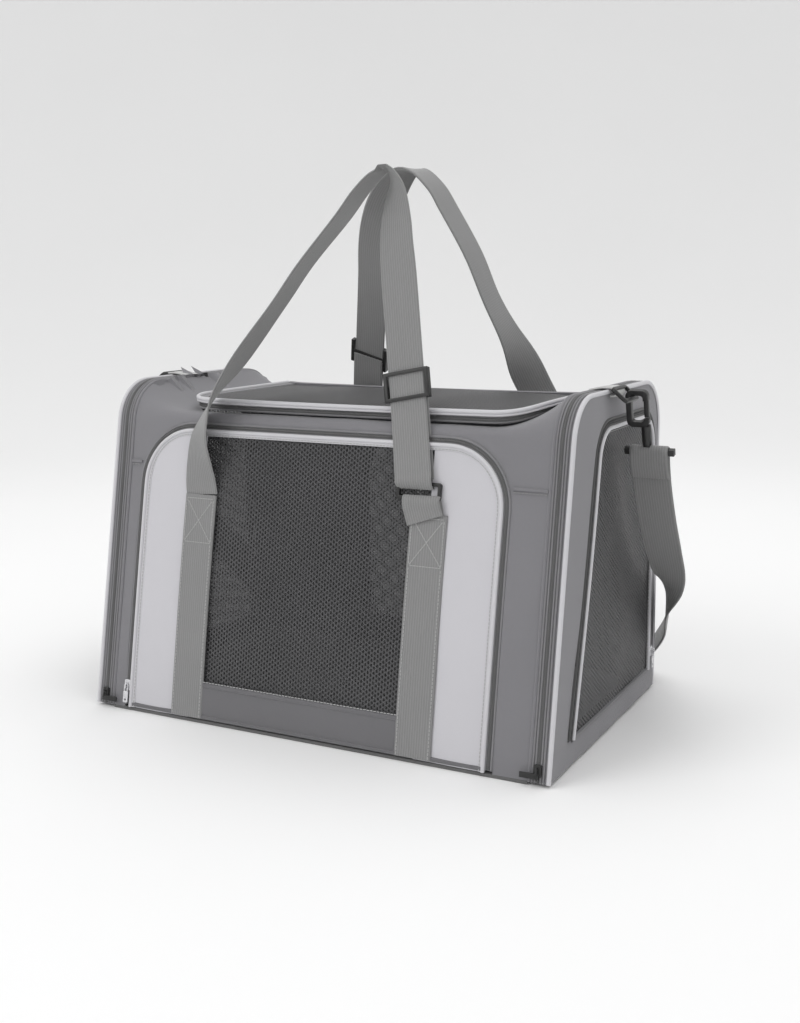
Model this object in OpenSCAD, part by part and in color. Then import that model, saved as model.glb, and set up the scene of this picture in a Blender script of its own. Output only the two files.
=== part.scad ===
// Soft-sided pet carrier bag. Millimetres, +Z up, origin at the middle of the footprint.
// The long front is at -Y, the end with the visible door is at +X.

/* [Body] */
// Length over the two ends
body_l = 508; // [480:2:540]
// Depth at the base
body_d = 304.8; // [290:1:320]
// Height of the end hoops, piping included
body_h = 335.3; // [325:1:350]
// How far the front wall leans back over the height of the hoops
front_lean = 60; // [50:1:64]
// Height of the fabric top between the hoops
top_h = 305; // [300:1:308]
// Thickness of the padded fabric walls
wall_t = 3; // [2.5:0.5:3.5]
// Width of the raised band at each end
rim_w = 21; // [18:1:24]

/* [Front panel] */
// Half width of the panel
panel_hw = 199; // [190:1:200]
// Height of the panel along the wall
panel_h = 288; // [280:1:290]
// Radius of the panel's upper corners
panel_r = 55; // [45:1:60]
// Sideways shift of the panel and its straps
panel_shift = -10; // [-12:1:0]
// Height of the plain band under the mesh window
band_h = 40; // [35:1:45]

/* [End doors] */
// Height of the door's lower edge, where it is sewn on
door_z = 26.5; // [26:0.5:28]
// Height of the door's upper edge
door_top = 300; // [290:1:300]
// Radius of the door's upper corners
door_r = 34; // [25:1:40]

/* [Lid] */
// Reach of the lid to the right
lid_right = 212; // [200:1:214]
// Reach of the lid to the left
lid_left = 184; // [170:1:214]
// Front edge of the lid, measured back from the middle
lid_front = 85; // [82:1:86]
// Rear edge of the lid, where it is sewn on
lid_rear = 118; // [112:1:120]
// Radius of the lid's corners
lid_r = 48; // [40:1:55]

/* [Webbing] */
// Width of the handle and shoulder webbing
web_w = 38; // [36:1:40]
// Thickness of the webbing
web_t = 2.4; // [2:0.1:2.6]
// Distance of each sewn strap from the middle of its panel
strap_u = 128; // [124:1:130]
// Top of the sewn straps along the wall
strap_top = 228; // [220:1:232]

/* [Hidden] */

$fn = 48;
gap = 0.5;
cut = 1;
pipe_t = 2.5;
pipe_w = 4;
zip_w = 8;
hoop_h = body_h - pipe_t;
half_l = body_l / 2 - 2;
half_d = body_d / 2;
rim_x = half_l - rim_w;
lean_a = atan(front_lean / hoop_h);
hoop_r = 45;
top_r = 9;
panel_low = 4;
mesh_t = 2;
lid_low = 316;
lid_t = 3;
base_t = 3;
board_t = 3;
pad_low = base_t + board_t + 0.3;
pad_t = 16;
board_l = 476;
board_d = 290;
wire_r = 1.5;
zip_proud = 0.6;
zip_sunk = 1;
pull_z = 3.95;
pull_l = 18;
top_split = wall_t - lid_front;
// Places of the zip sliders along their tapes.
front_slider_v = 26;
door_slider_v = 46;
rim_slider_v = 14;
lid_slider_y = 86;
// Lowest row of the loop that holds each handle's ring.
loop_low = strap_top + 2.5;
ring_low = 240;
ring_h = 17;
ring_w = 46;
ring_u = 106;
// Swivel hook: top of the hook and its tilt.
hook_top = [0, 8, 332];
hook_tilt = 15;

// Handle routes: points along the webbing and the direction of its width at each.
front_route = [
    [-138, -115, 227.5], [-139.5, -114, 256], [-136, -116.5, 287], [-127, -107.5, 318],
    [-97, -104, 357], [-60, -85, 413], [-37, -70, 452], [-4, -56, 495], [14, -51, 519],
    [30, -46, 536], [42, -45.5, 538], [50, -49, 520], [56, -58, 490], [60.2, -64.8, 468],
    [66, -71.4, 438], [77.7, -84.8, 377.5], [89.3, -98.1, 317], [101, -113, 256.5]
];
front_width = [
    [1, 0, 0], [1, -0.25, 0], [1, -0.7, 0], [0.6, -1, 0], [0.1, -1, 0], [0.15, -1, 0],
    [0.15, -1, 0], [0.1, -1, 0], [0.1, -1, 0], [0.2, -1, 0], [0.5, -1, 0], [0.8, -0.6, 0],
    [1, -0.25, 0.1], [1, -0.1, 0.19], [1, 0, 0.19], [1, 0, 0.19], [1, 0, 0.19],
    [1, 0, 0.19]
];
rear_route = [
    [138, 155.8, 230], [137, 156.5, 262], [125, 158, 295], [110, 153, 325],
    [97, 126, 372], [82, 106, 415], [69, 89, 461], [50, 69, 508], [39, 59, 531],
    [24, 51, 546], [8, 51, 545], [-14, 57, 524], [-34, 70, 495], [-47.7, 83.8, 468],
    [-57, 97, 437], [-74.5, 122, 378.5], [-90.5, 144.9, 325], [-98, 156, 296],
    [-101, 156.2, 259]
];
rear_width = [
    [1, 0, 0], [1, 0, 0], [1, 0, 0], [0.85, 0.4, 0], [0.3, 1, 0], [0.1, 1, 0],
    [0.1, 1, 0], [0.1, 1, 0], [0.1, 1, 0], [0.2, 1, 0], [0.5, 1, 0], [0.8, 0.6, 0],
    [1, 0.25, -0.15], [1, 0.1, -0.3], [1, 0, -0.3], [1, 0, -0.3], [1, 0, -0.3],
    [1, 0, -0.1], [1, 0, 0]
];
// Right half of the shoulder strap, from the hook's bar down and round behind the bag.
strap_half = [
    [282, 25, 271], [282, 34, 242], [283, 50, 205], [283, 72, 172], [282, 98, 138],
    [273, 127, 104], [265, 155, 72], [246, 174, 42], [223, 187, 18], [198, 193, 5],
    [170, 198, 1.3], [130, 203, 1.3], [85, 207, 1.3], [40, 209, 1.3]
];
strap_half_width = [
    [1, 0, 0], [1, 0, 0], [1, 0, 0], [1, 0, -0.05], [1, -0.15, -0.2], [0.25, -0.8, -0.6],
    [0.1, -0.75, -0.6], [0.1, -0.9, -0.45], [0.05, -0.95, -0.3], [0, -1, -0.1],
    [0, -1, 0], [0, -1, 0], [0, -1, 0], [0, -1, 0]
];

function arc(c, r, a0, a1, n = 10) =
    [for (i = [0:n]) let (a = a0 + (a1 - a0) * i / n) [c[0] + r * cos(a), c[1] + r * sin(a)]];
function spline_at(p, i, t) =
    let (
        n = len(p) - 1,
        a = i == 0 ? 2 * p[0] - p[1] : p[i - 1],
        b = p[i],
        c = p[i + 1],
        d = i + 2 > n ? 2 * p[n] - p[n - 1] : p[i + 2]
    )
    0.5 * (2 * b + (c - a) * t + (2 * a - 5 * b + 4 * c - d) * t * t
        + (3 * b - a - 3 * c + d) * t * t * t);
function spline(p, n) =
    [for (i = [0:len(p) - 2]) for (j = [0:n - 1]) spline_at(p, i, j / n), p[len(p) - 1]];
function unit(v) = v / norm(v);
function mirror_x(p) = [-p[0], p[1], p[2]];
function flip(p) = [for (i = [len(p) - 1:-1:0]) p[i]];

// Flat webbing swept along a route, with its width along the given directions.
module webbing(route, width, steps = 2, w = web_w, t = web_t) {
    path = spline(route, steps);
    wide = spline(width, steps);
    n = len(path);
    outline = [
        [w / 2, -t / 4], [w / 2, t / 4], [w / 2 - t / 2, t / 2], [-w / 2 + t / 2, t / 2],
        [-w / 2, t / 4], [-w / 2, -t / 4], [-w / 2 + t / 2, -t / 2], [w / 2 - t / 2, -t / 2]
    ];
    m = len(outline);
    points = [
        for (i = [0:n - 1])
            let (
                along = unit(path[min(i + 1, n - 1)] - path[max(i - 1, 0)]),
                side = unit(wide[i] - (wide[i] * along) * along),
                up = cross(along, side)
            )
            for (q = outline) path[i] + side * q[0] + up * q[1]
    ];
    sides = [
        for (i = [0:n - 2]) for (k = [0:m - 1])
            let (a = i * m + k, b = i * m + (k + 1) % m)
            each k < m / 2 ? [[a, a + m, b + m], [a, b + m, b]] : [[a, a + m, b], [b, a + m, b + m]]
    ];
    caps = [[for (k = [0:m - 1]) k], [for (k = [m - 1:-1:0]) (n - 1) * m + k]];
    polyhedron(points, concat(sides, caps));
}

// A drawing on the front wall: x along the bag, y up the wall, z outwards.
module on_front() {
    translate([0, -half_d, 0]) rotate([90 - lean_a, 0, 0]) children();
}
// A drawing on the rear wall, seen from behind.
module on_rear() {
    rotate([0, 0, 180]) translate([0, -half_d, 0]) rotate([90, 0, 0]) children();
}
// A drawing on the right end: x towards the rear, y up, z outwards from the given place.
module on_end(x) {
    translate([x, 0, 0]) rotate([90, 0, 90]) children();
}
module left() {
    mirror([1, 0, 0]) children();
}

// Outline of the bag seen from the end, with rounded upper corners.
module end_profile(h, r, inset = 0) {
    offset(delta = -inset) offset(r = r) offset(delta = -r) polygon([
        [-half_d - front_lean * r / hoop_h, -r], [-half_d + front_lean * h / hoop_h, h],
        [half_d, h], [half_d, -r]
    ]);
}
module hoop_profile(inset = 0) {
    intersection() {
        end_profile(hoop_h, hoop_r, inset);
        translate([-body_d, inset]) square([body_d * 2, body_h * 2]);
    }
}
module middle_profile(inset = 0) {
    intersection() {
        end_profile(top_h, top_r, inset);
        translate([-body_d, inset]) square([body_d * 2, body_h * 2]);
    }
}
module panel_outline(grow = 0) {
    hw = panel_hw + grow;
    top = panel_low + panel_h + grow;
    low = panel_low - grow;
    r = panel_r + grow;
    translate([panel_shift, 0]) polygon(concat(
        [[-hw, low], [hw, low]],
        arc([hw - r, top - r], r, 0, 90),
        arc([-hw + r, top - r], r, 90, 180)
    ));
}
module door_outline(grow = 0) {
    offset(delta = grow) intersection() {
        offset(r = door_r) offset(delta = -door_r) polygon([
            [-114, -door_r], [-34, door_top], [130, door_top], [130, -door_r]
        ]);
        translate([-200, door_z]) square([400, 400]);
    }
}
module lid_outline(grow = 0) {
    left = -lid_left - grow;
    right = lid_right + grow;
    r = lid_r + grow;
    polygon(concat(
        arc([left + r, -lid_front - grow + r], r, 180, 270),
        arc([right - r, -lid_front - grow + r], r, 270, 360),
        [[right, lid_rear], [left, lid_rear]]
    ));
}

// Base, board and pad.
module base_panel() {
    color("dimgray") on_end(-rim_x)
        linear_extrude(rim_x * 2) intersection() {
            middle_profile();
            translate([-body_d, 0]) square([body_d * 2, base_t]);
        }
}
module base_board() {
    color("black") translate([-board_l / 2, -board_d / 2, base_t])
        cube([board_l, board_d, board_t]);
}
module sleeping_pad() {
    color("gainsboro") translate([0, 0, pad_low]) linear_extrude(pad_t)
        offset(r = 25) square([board_l - 56, board_d - 66], center = true);
}

// Fabric walls of the middle.
module middle_shell() {
    on_end(-rim_x) linear_extrude(rim_x * 2) difference() {
        middle_profile();
        middle_profile(wall_t);
    }
}
module front_wall() {
    color("gray") difference() {
        intersection() {
            middle_shell();
            translate([-body_l, -body_d, base_t])
                cube([body_l * 2, body_d + top_split, top_h]);
        }
        on_front() translate([0, 0, -wall_t * 3]) linear_extrude(wall_t * 6)
            panel_outline(zip_w + gap);
        translate([0, 0, top_h - wall_t * 2]) linear_extrude(wall_t * 4)
            lid_outline(-wall_t);
    }
}
module rear_wall() {
    color("gray") difference() {
        intersection() {
            middle_shell();
            translate([-body_l, half_d - wall_t * 4, base_t])
                cube([body_l * 2, body_d, top_h]);
        }
        on_rear() translate([0, 0, -wall_t * 3]) linear_extrude(wall_t * 6) window_outline();
    }
}
module window_outline() {
    translate([panel_shift - strap_u + web_w / 2, band_h])
        square([strap_u * 2 - web_w, panel_h - band_h - 20]);
}
module rear_window() {
    color("dimgray") on_rear() translate([0, 0, -mesh_t]) linear_extrude(mesh_t)
        window_outline();
}
module sewn_straps(top) {
    for (u = [-strap_u, strap_u])
        translate([panel_shift + u - web_w / 2, panel_low + cut, 0])
            cube([web_w, top - panel_low - cut, web_t]);
}
module rear_straps() {
    color("darkgray") on_rear() sewn_straps(strap_top);
}
module top_frame() {
    color("gray") difference() {
        intersection() {
            middle_shell();
            translate([-body_l, top_split, top_h - wall_t * 2])
                cube([body_l * 2, half_d - wall_t * 4 - top_split, top_h]);
        }
        translate([0, 0, top_h - wall_t * 2]) linear_extrude(wall_t * 4)
            lid_outline(-wall_t);
    }
}

// Raised ends.
module right_rim() {
    color("gray") difference() {
        union() {
            on_end(rim_x) linear_extrude(rim_w) difference() {
                hoop_profile();
                hoop_profile(wall_t);
            }
            on_end(rim_x) linear_extrude(wall_t) difference() {
                hoop_profile();
                middle_profile(wall_t);
            }
        }
        rim_zip_ring();
    }
}
module left_rim() {
    left() right_rim();
}
module rim_zip_ring() {
    on_end(rim_x + 4) linear_extrude(rim_w - 9) difference() {
        hoop_profile(-zip_proud);
        hoop_profile(zip_sunk);
        translate([-body_d, -body_h]) square([body_d * 2, body_h + base_t]);
    }
}
module right_rim_zip() {
    color("slategray") rim_zip_ring();
}
module left_rim_zip() {
    left() right_rim_zip();
}
module right_rim_piping() {
    color("gainsboro") on_end(half_l - pipe_w) linear_extrude(pipe_w + 1) difference() {
        hoop_profile(-pipe_t);
        hoop_profile(0);
        translate([-body_d, -body_h]) square([body_d * 2, body_h + base_t]);
    }
}
module left_rim_piping() {
    left() right_rim_piping();
}
module right_end_panel() {
    color("gray") on_end(half_l - wall_t) linear_extrude(wall_t) difference() {
        hoop_profile(wall_t);
        intersection() {
            door_outline(zip_w + gap);
            translate([-body_d, door_z - 0.3]) square([body_d * 2, body_h]);
        }
    }
}
module left_end_panel() {
    left() right_end_panel();
}
// Steel wire that holds up each end, a closed hoop just inside the band.
module right_hoop() {
    inset = wall_t + 0.6;
    color("silver") on_end(half_l - 8) linear_extrude(wire_r * 2) difference() {
        hoop_profile(inset);
        hoop_profile(inset + wire_r * 2);
    }
}
module left_hoop() {
    left() right_hoop();
}

// Zip tapes with their teeth, round each opening.
module front_zip() {
    color("slategray") on_front() translate([0, 0, -2.5]) linear_extrude(2.5 + zip_proud)
        intersection() {
            difference() {
                panel_outline(zip_w + gap);
                panel_outline(gap);
            }
            translate([-body_l, panel_low + 2]) square([body_l * 2, body_h]);
        }
}
module lid_zip() {
    color("slategray") translate([0, 0, top_h]) linear_extrude(lid_low - gap - top_h) {
        intersection() {
            difference() {
                lid_outline(-0.5);
                lid_outline(-wall_t);
            }
            translate([-body_l, -body_d]) square([body_l * 2, body_d + lid_rear - 2.5]);
        }
        translate([wall_t - lid_left, lid_rear - 2.5])
            square([lid_left + lid_right - 2 * wall_t, 2.5]);
    }
}
module right_door_zip() {
    color("slategray") on_end(half_l - 2.5) linear_extrude(2.5 + zip_proud) intersection() {
        difference() {
            door_outline(zip_w + gap);
            door_outline(gap);
        }
        translate([-body_d, door_z]) square([body_d * 2, body_h]);
    }
}
module left_door_zip() {
    left() right_door_zip();
}

// Zip slider on a tape: z outwards from the tape, running along y.
module zip_slider() {
    translate([0, 0, 0.3]) linear_extrude(2.6) offset(r = 1) square([5, 9], center = true);
    for (y = [-2.5, 2.5]) translate([-0.8, y - 0.7, 2.9]) cube([1.6, 1.4, 2.1]);
    translate([-0.8, -3.2, 5]) cube([1.6, 6.4, 1.2]);
}
// Its pull, hung on a cross wire under the slider's bridge and lying towards -y.
module zip_pull() {
    translate([-2.5, 0, pull_z]) rotate([0, 90, 0]) cylinder(r = 0.7, h = 5);
    for (x = [-2.5, 1.3]) translate([x, -6, pull_z - 0.6]) cube([1.2, 6, 1.2]);
    difference() {
        translate([0, -pull_l / 2 - 3, pull_z - 0.6]) linear_extrude(1.2)
            offset(r = 1) square([3.6, pull_l - 8], center = true);
        translate([0, -pull_l + 3, 0]) cylinder(r = 1.1, h = 10);
    }
}
module on_front_tape() {
    on_front() translate([panel_shift - panel_hw - gap - zip_w / 2, front_slider_v, zip_proud])
        children();
}
module front_zip_slider() {
    color("silver") on_front_tape() zip_slider();
}
module front_zip_pull() {
    color("silver") on_front_tape() zip_pull();
}
// The lid's tape stands upright and the slider runs forwards along its right side.
module on_lid_tape() {
    translate([lid_right - 0.5, lid_slider_y, (top_h + lid_low) / 2]) rotate([0, 90, 0])
        rotate([0, 0, 180]) children();
}
module lid_zip_slider() {
    color("silver") on_lid_tape() zip_slider();
}
module lid_zip_pull() {
    color("silver") on_lid_tape() zip_pull();
}
module on_door_tape() {
    on_end(half_l) translate([130 + gap + zip_w / 2, door_slider_v, zip_proud]) children();
}
module right_door_slider() {
    color("silver") on_door_tape() zip_slider();
}
module right_door_pull() {
    color("silver") on_door_tape() zip_pull();
}
module left_door_slider() {
    left() right_door_slider();
}
module left_door_pull() {
    left() right_door_pull();
}
// Slider of the long zip round each end, with its cloth tab turned inwards.
module right_rim_slider() {
    color("black") on_front()
        translate([rim_x + 4 + (rim_w - 9) / 2, rim_slider_v, zip_proud]) {
            zip_slider();
            translate([2 - pull_l, -7, 3.4]) cube([pull_l, 5, 1.6]);
            translate([-2, -7, 2.9]) cube([4, 5, 1]);
        }
}
module left_rim_slider() {
    left() right_rim_slider();
}

// Ring and its tab on top of each end.
module right_ring_tab() {
    low = hoop_h + zip_proud + 0.1;
    color("lightgray") translate([0, 13, 0]) rotate([90, 0, 0]) linear_extrude(26) polygon([
        [half_l - 16, low], [half_l - pipe_w, low], [half_l - pipe_w, body_h + 0.1],
        [half_l + 3.2, body_h + 0.1], [half_l + 3.2, body_h + 2.1], [half_l - 16, body_h + 2.1]
    ]);
}
module left_ring_tab() {
    left() right_ring_tab();
}
module right_d_ring() {
    color("black") translate([half_l + 12.4, 0, 330.6]) rotate([0, 40, 0])
        linear_extrude(3.6, center = true) difference() {
            offset(r = 4) square([11.5, 30], center = true);
            offset(r = 1) square([10, 29], center = true);
        }
}
module left_d_ring() {
    left() right_d_ring();
}
// Hook drawings: x along the bar, z up, thickness along y, hung from the ring.
module on_hook() {
    translate(hook_top) rotate([hook_tilt, 0, 0]) children();
}
module right_hook() {
    color("black") on_hook() {
        translate([0, 3, 0]) rotate([90, 0, 0]) linear_extrude(6) difference() {
            translate([262.5, -34]) offset(r = 6) offset(delta = -6) square([21.5, 36]);
            translate([267.5, -29]) offset(r = 3) offset(delta = -3) square([11.5, 26.3]);
            translate([278, -25.4]) square([10, 17.4]);
        }
        translate([280, 0, -52]) cylinder(r = 4.5, h = 19);
        translate([258, -3, -62]) cube([48, 6, 6]);
        translate([277, -3, -57]) cube([6, 6, 6]);
    }
}
module left_hook() {
    left() right_hook();
}
// Spring gate that closes the hook.
module right_gate() {
    color("dimgray") on_hook() translate([279.4, 2.2, -24.2]) rotate([90, 0, 0])
        linear_extrude(4.4) square([4.4, 15.8]);
}
module left_gate() {
    left() right_gate();
}
// Shoulder strap, clipped at both ends and lying on the ground behind the bag.
module shoulder_strap() {
    color("darkgray") webbing(
        concat(strap_half, flip([for (p = strap_half) mirror_x(p)])),
        concat(strap_half_width, flip([for (p = strap_half_width) mirror_x(p)]))
    );
}

// Front panel: padded sides, mesh window, plain band and piping.
module front_side_panels() {
    color("lightgray") on_front() translate([0, 0, -mesh_t]) linear_extrude(mesh_t)
        difference() {
            panel_outline();
            translate([panel_shift - strap_u, 0]) square([strap_u * 2, body_h]);
        }
}
module front_window() {
    color("dimgray") on_front() translate([0, 0, -mesh_t]) linear_extrude(mesh_t)
        intersection() {
            panel_outline();
            translate([panel_shift - strap_u, band_h]) square([strap_u * 2, body_h]);
        }
}
module front_band() {
    color("gray") on_front() translate([0, 0, -mesh_t]) linear_extrude(mesh_t)
        intersection() {
            panel_outline();
            translate([panel_shift - strap_u, 0]) square([strap_u * 2, band_h]);
        }
}
module front_piping() {
    color("gainsboro") on_front() linear_extrude(pipe_t) difference() {
        panel_outline();
        panel_outline(-pipe_w);
        square([body_l * 2, (panel_low + pipe_w + 1) * 2], center = true);
    }
}
module front_straps() {
    color("darkgray") on_front() sewn_straps(strap_top);
}

// Handles: a long loop of webbing, the short loop that holds its ring, slider and ring.
module short_loop() {
    translate([ring_u - web_w / 2, loop_low, 1.2]) cube([web_w, ring_low - 0.3 - loop_low, 3]);
}
module ring_frame() {
    translate([ring_u, ring_low + ring_h / 2, 1.6]) linear_extrude(3.2) difference() {
        offset(r = 3) square([ring_w - 6, ring_h - 6], center = true);
        offset(r = 1) square([ring_w - 9, ring_h - 9], center = true);
    }
}
// Three-bar slider: the webbing runs behind its outer bars and in front of the middle one.
module bar_slider() {
    for (x = [-23.6, 19.6]) translate([x, -3.2, -14]) cube([4, 6.4, 28]);
    for (z = [-14, 10.5]) translate([-20, -3.2, z]) cube([40, 1.6, 3.5]);
    translate([-20, 1.6, -2.5]) cube([40, 1.6, 5]);
}
module front_handle() {
    color("darkgray") {
        webbing(front_route, front_width);
        on_front() short_loop();
    }
}
module front_slider() {
    color("black") translate([84.9, -93.1, 340]) rotate([-12.2, -10.9, 0]) bar_slider();
}
module front_ring() {
    color("black") on_front() ring_frame();
}
module rear_handle() {
    color("darkgray") {
        webbing(rear_route, rear_width);
        on_rear() short_loop();
    }
}
module rear_slider() {
    color("black") translate([-82.4, 133.3, 352]) rotate([22.3, 16.7, 0])
        rotate([0, 0, 180]) bar_slider();
}
module rear_ring() {
    color("black") on_rear() ring_frame();
}

// Lid and end doors.
module lid_panel() {
    color("dimgray") translate([0, 0, lid_low]) linear_extrude(lid_t) lid_outline();
}
module lid_piping() {
    color("gainsboro") translate([0, 0, lid_low + 0.2]) linear_extrude(lid_t)
        intersection() {
            difference() {
                lid_outline(pipe_t);
                lid_outline(0);
            }
            translate([-body_l, -body_d]) square([body_l * 2, body_d + lid_rear - 2]);
        }
}
module right_door_panel() {
    color("dimgray") on_end(half_l - mesh_t) linear_extrude(mesh_t) door_outline();
}
module right_door_piping() {
    color("gainsboro") on_end(half_l) linear_extrude(pipe_t) difference() {
        door_outline();
        door_outline(-pipe_w);
        square([body_d * 2, (door_z + 5) * 2], center = true);
    }
}
module left_door_panel() {
    left() right_door_panel();
}
module left_door_piping() {
    left() right_door_piping();
}

base_panel();
base_board();
sleeping_pad();
front_wall();
rear_wall();
rear_window();
rear_straps();
top_frame();
right_rim();
left_rim();
right_rim_piping();
left_rim_piping();
right_end_panel();
left_end_panel();
right_rim_zip();
left_rim_zip();
right_hoop();
left_hoop();
front_zip();
lid_zip();
right_door_zip();
left_door_zip();
right_ring_tab();
left_ring_tab();
right_d_ring();
left_d_ring();
right_hook();
left_hook();
right_gate();
left_gate();
shoulder_strap();
front_side_panels();
front_window();
front_band();
front_piping();
front_straps();
front_handle();
front_slider();
front_ring();
rear_handle();
rear_slider();
rear_ring();
lid_panel();
lid_piping();
right_door_panel();
right_door_piping();
left_door_panel();
left_door_piping();
front_zip_slider();
front_zip_pull();
lid_zip_slider();
lid_zip_pull();
right_door_slider();
right_door_pull();
left_door_slider();
left_door_pull();
right_rim_slider();
left_rim_slider();
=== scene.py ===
"""Looks of a soft-sided pet carrier: sewn cloth, nets, zips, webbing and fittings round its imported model.

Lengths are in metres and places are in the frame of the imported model. The long front faces -Y and leans
back, the ends are at -X and +X, and the bag stands on z = 0. The right end is made first and the left end is
its mirror image.
"""

import functools
import logging
import math
from collections.abc import Callable, Sequence
from dataclasses import dataclass, field
from enum import Enum

import bmesh
import bpy
import numpy as np
from mathutils import Matrix, Vector, noise


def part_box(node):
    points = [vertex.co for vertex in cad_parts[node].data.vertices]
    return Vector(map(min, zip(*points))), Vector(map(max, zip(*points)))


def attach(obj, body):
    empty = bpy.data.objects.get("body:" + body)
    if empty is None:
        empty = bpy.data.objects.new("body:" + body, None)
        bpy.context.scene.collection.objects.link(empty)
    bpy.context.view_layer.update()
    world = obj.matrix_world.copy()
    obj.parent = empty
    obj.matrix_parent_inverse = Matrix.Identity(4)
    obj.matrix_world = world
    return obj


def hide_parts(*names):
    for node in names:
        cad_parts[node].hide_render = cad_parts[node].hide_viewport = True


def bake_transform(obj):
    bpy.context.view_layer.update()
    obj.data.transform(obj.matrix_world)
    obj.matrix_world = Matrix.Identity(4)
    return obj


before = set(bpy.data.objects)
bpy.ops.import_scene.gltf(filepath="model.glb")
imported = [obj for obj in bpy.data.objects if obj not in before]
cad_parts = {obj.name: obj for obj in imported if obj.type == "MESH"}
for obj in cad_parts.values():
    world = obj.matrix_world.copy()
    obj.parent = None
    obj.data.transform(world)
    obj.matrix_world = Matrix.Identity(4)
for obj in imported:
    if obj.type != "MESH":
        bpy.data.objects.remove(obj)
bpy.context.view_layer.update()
LOG = logging.getLogger("carrier")

Flat = tuple[float, float]
Colour = tuple[float, float, float]
Mesh = bmesh.types.BMesh
MM = 0.001
SHARP_TURN = math.radians(40)


def smooth(t: float) -> float:
    """An even ease from 0 to 1 as t goes from 0 to 1, held outside."""
    t = min(1.0, max(0.0, t))
    return t * t * (3 - 2 * t)


def grey(level: float, violet: float = 0.0) -> Colour:
    """A near-neutral colour of that linear level, with a share of violet in it."""
    return (level * (1 + 0.25 * violet), level, level * (1 + violet))


def in_mm(*points: Flat) -> list[Flat]:
    """The same points in metres, given in millimetres."""
    return [(side * MM, up * MM) for side, up in points]


def rectangle(left: float, right: float, low: float, high: float) -> list[Flat]:
    """The four corners of a rectangle, anticlockwise from its lower left."""
    return [(left, low), (right, low), (right, high), (left, high)]


# ---------------------------------------------------------------- materials


class Number:
    """A number socket of a shader. Python arithmetic on it adds Math nodes."""

    def __init__(self, shader: "Shader", socket: bpy.types.NodeSocket) -> None:
        """Wraps a socket.

        Args:
            shader: The shader that the socket's node is in.
            socket: An output socket that gives a number.
        """
        self.shader = shader
        self.socket = socket

    def _math(self, operation: str, *values: "Number | float") -> "Number":
        """A Math node of that operation on the values."""
        made = self.shader.node("ShaderNodeMath", {"operation": operation}, dict(enumerate(values)))
        return Number(self.shader, made.outputs[0])

    def __add__(self, other: "Number | float") -> "Number":
        """self + other."""
        return self._math("ADD", self, other)

    __radd__ = __add__

    def __mul__(self, other: "Number | float") -> "Number":
        """self * other."""
        return self._math("MULTIPLY", self, other)

    __rmul__ = __mul__

    def __sub__(self, other: "Number | float") -> "Number":
        """self - other."""
        return self._math("SUBTRACT", self, other)

    def __rsub__(self, other: "Number | float") -> "Number":
        """other - self."""
        return self._math("SUBTRACT", other, self)

    def __truediv__(self, other: "Number | float") -> "Number":
        """self / other."""
        return self._math("DIVIDE", self, other)

    def cosine(self) -> "Number":
        """The cosine of self, in turns."""
        return self._math("COSINE", self * math.tau)

    def between(self, low: float, high: float) -> "Number":
        """A smooth step from 0 at low to 1 at high.

        Args:
            low: The value at and under which the step is 0.
            high: The value at and over which the step is 1.

        Returns:
            The step as a number.
        """
        made = self.shader.node(
            "ShaderNodeMapRange",
            {"interpolation_type": "SMOOTHSTEP"},
            {"Value": self, "From Min": low, "From Max": high},
        )
        return Number(self.shader, made.outputs[0])


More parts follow.
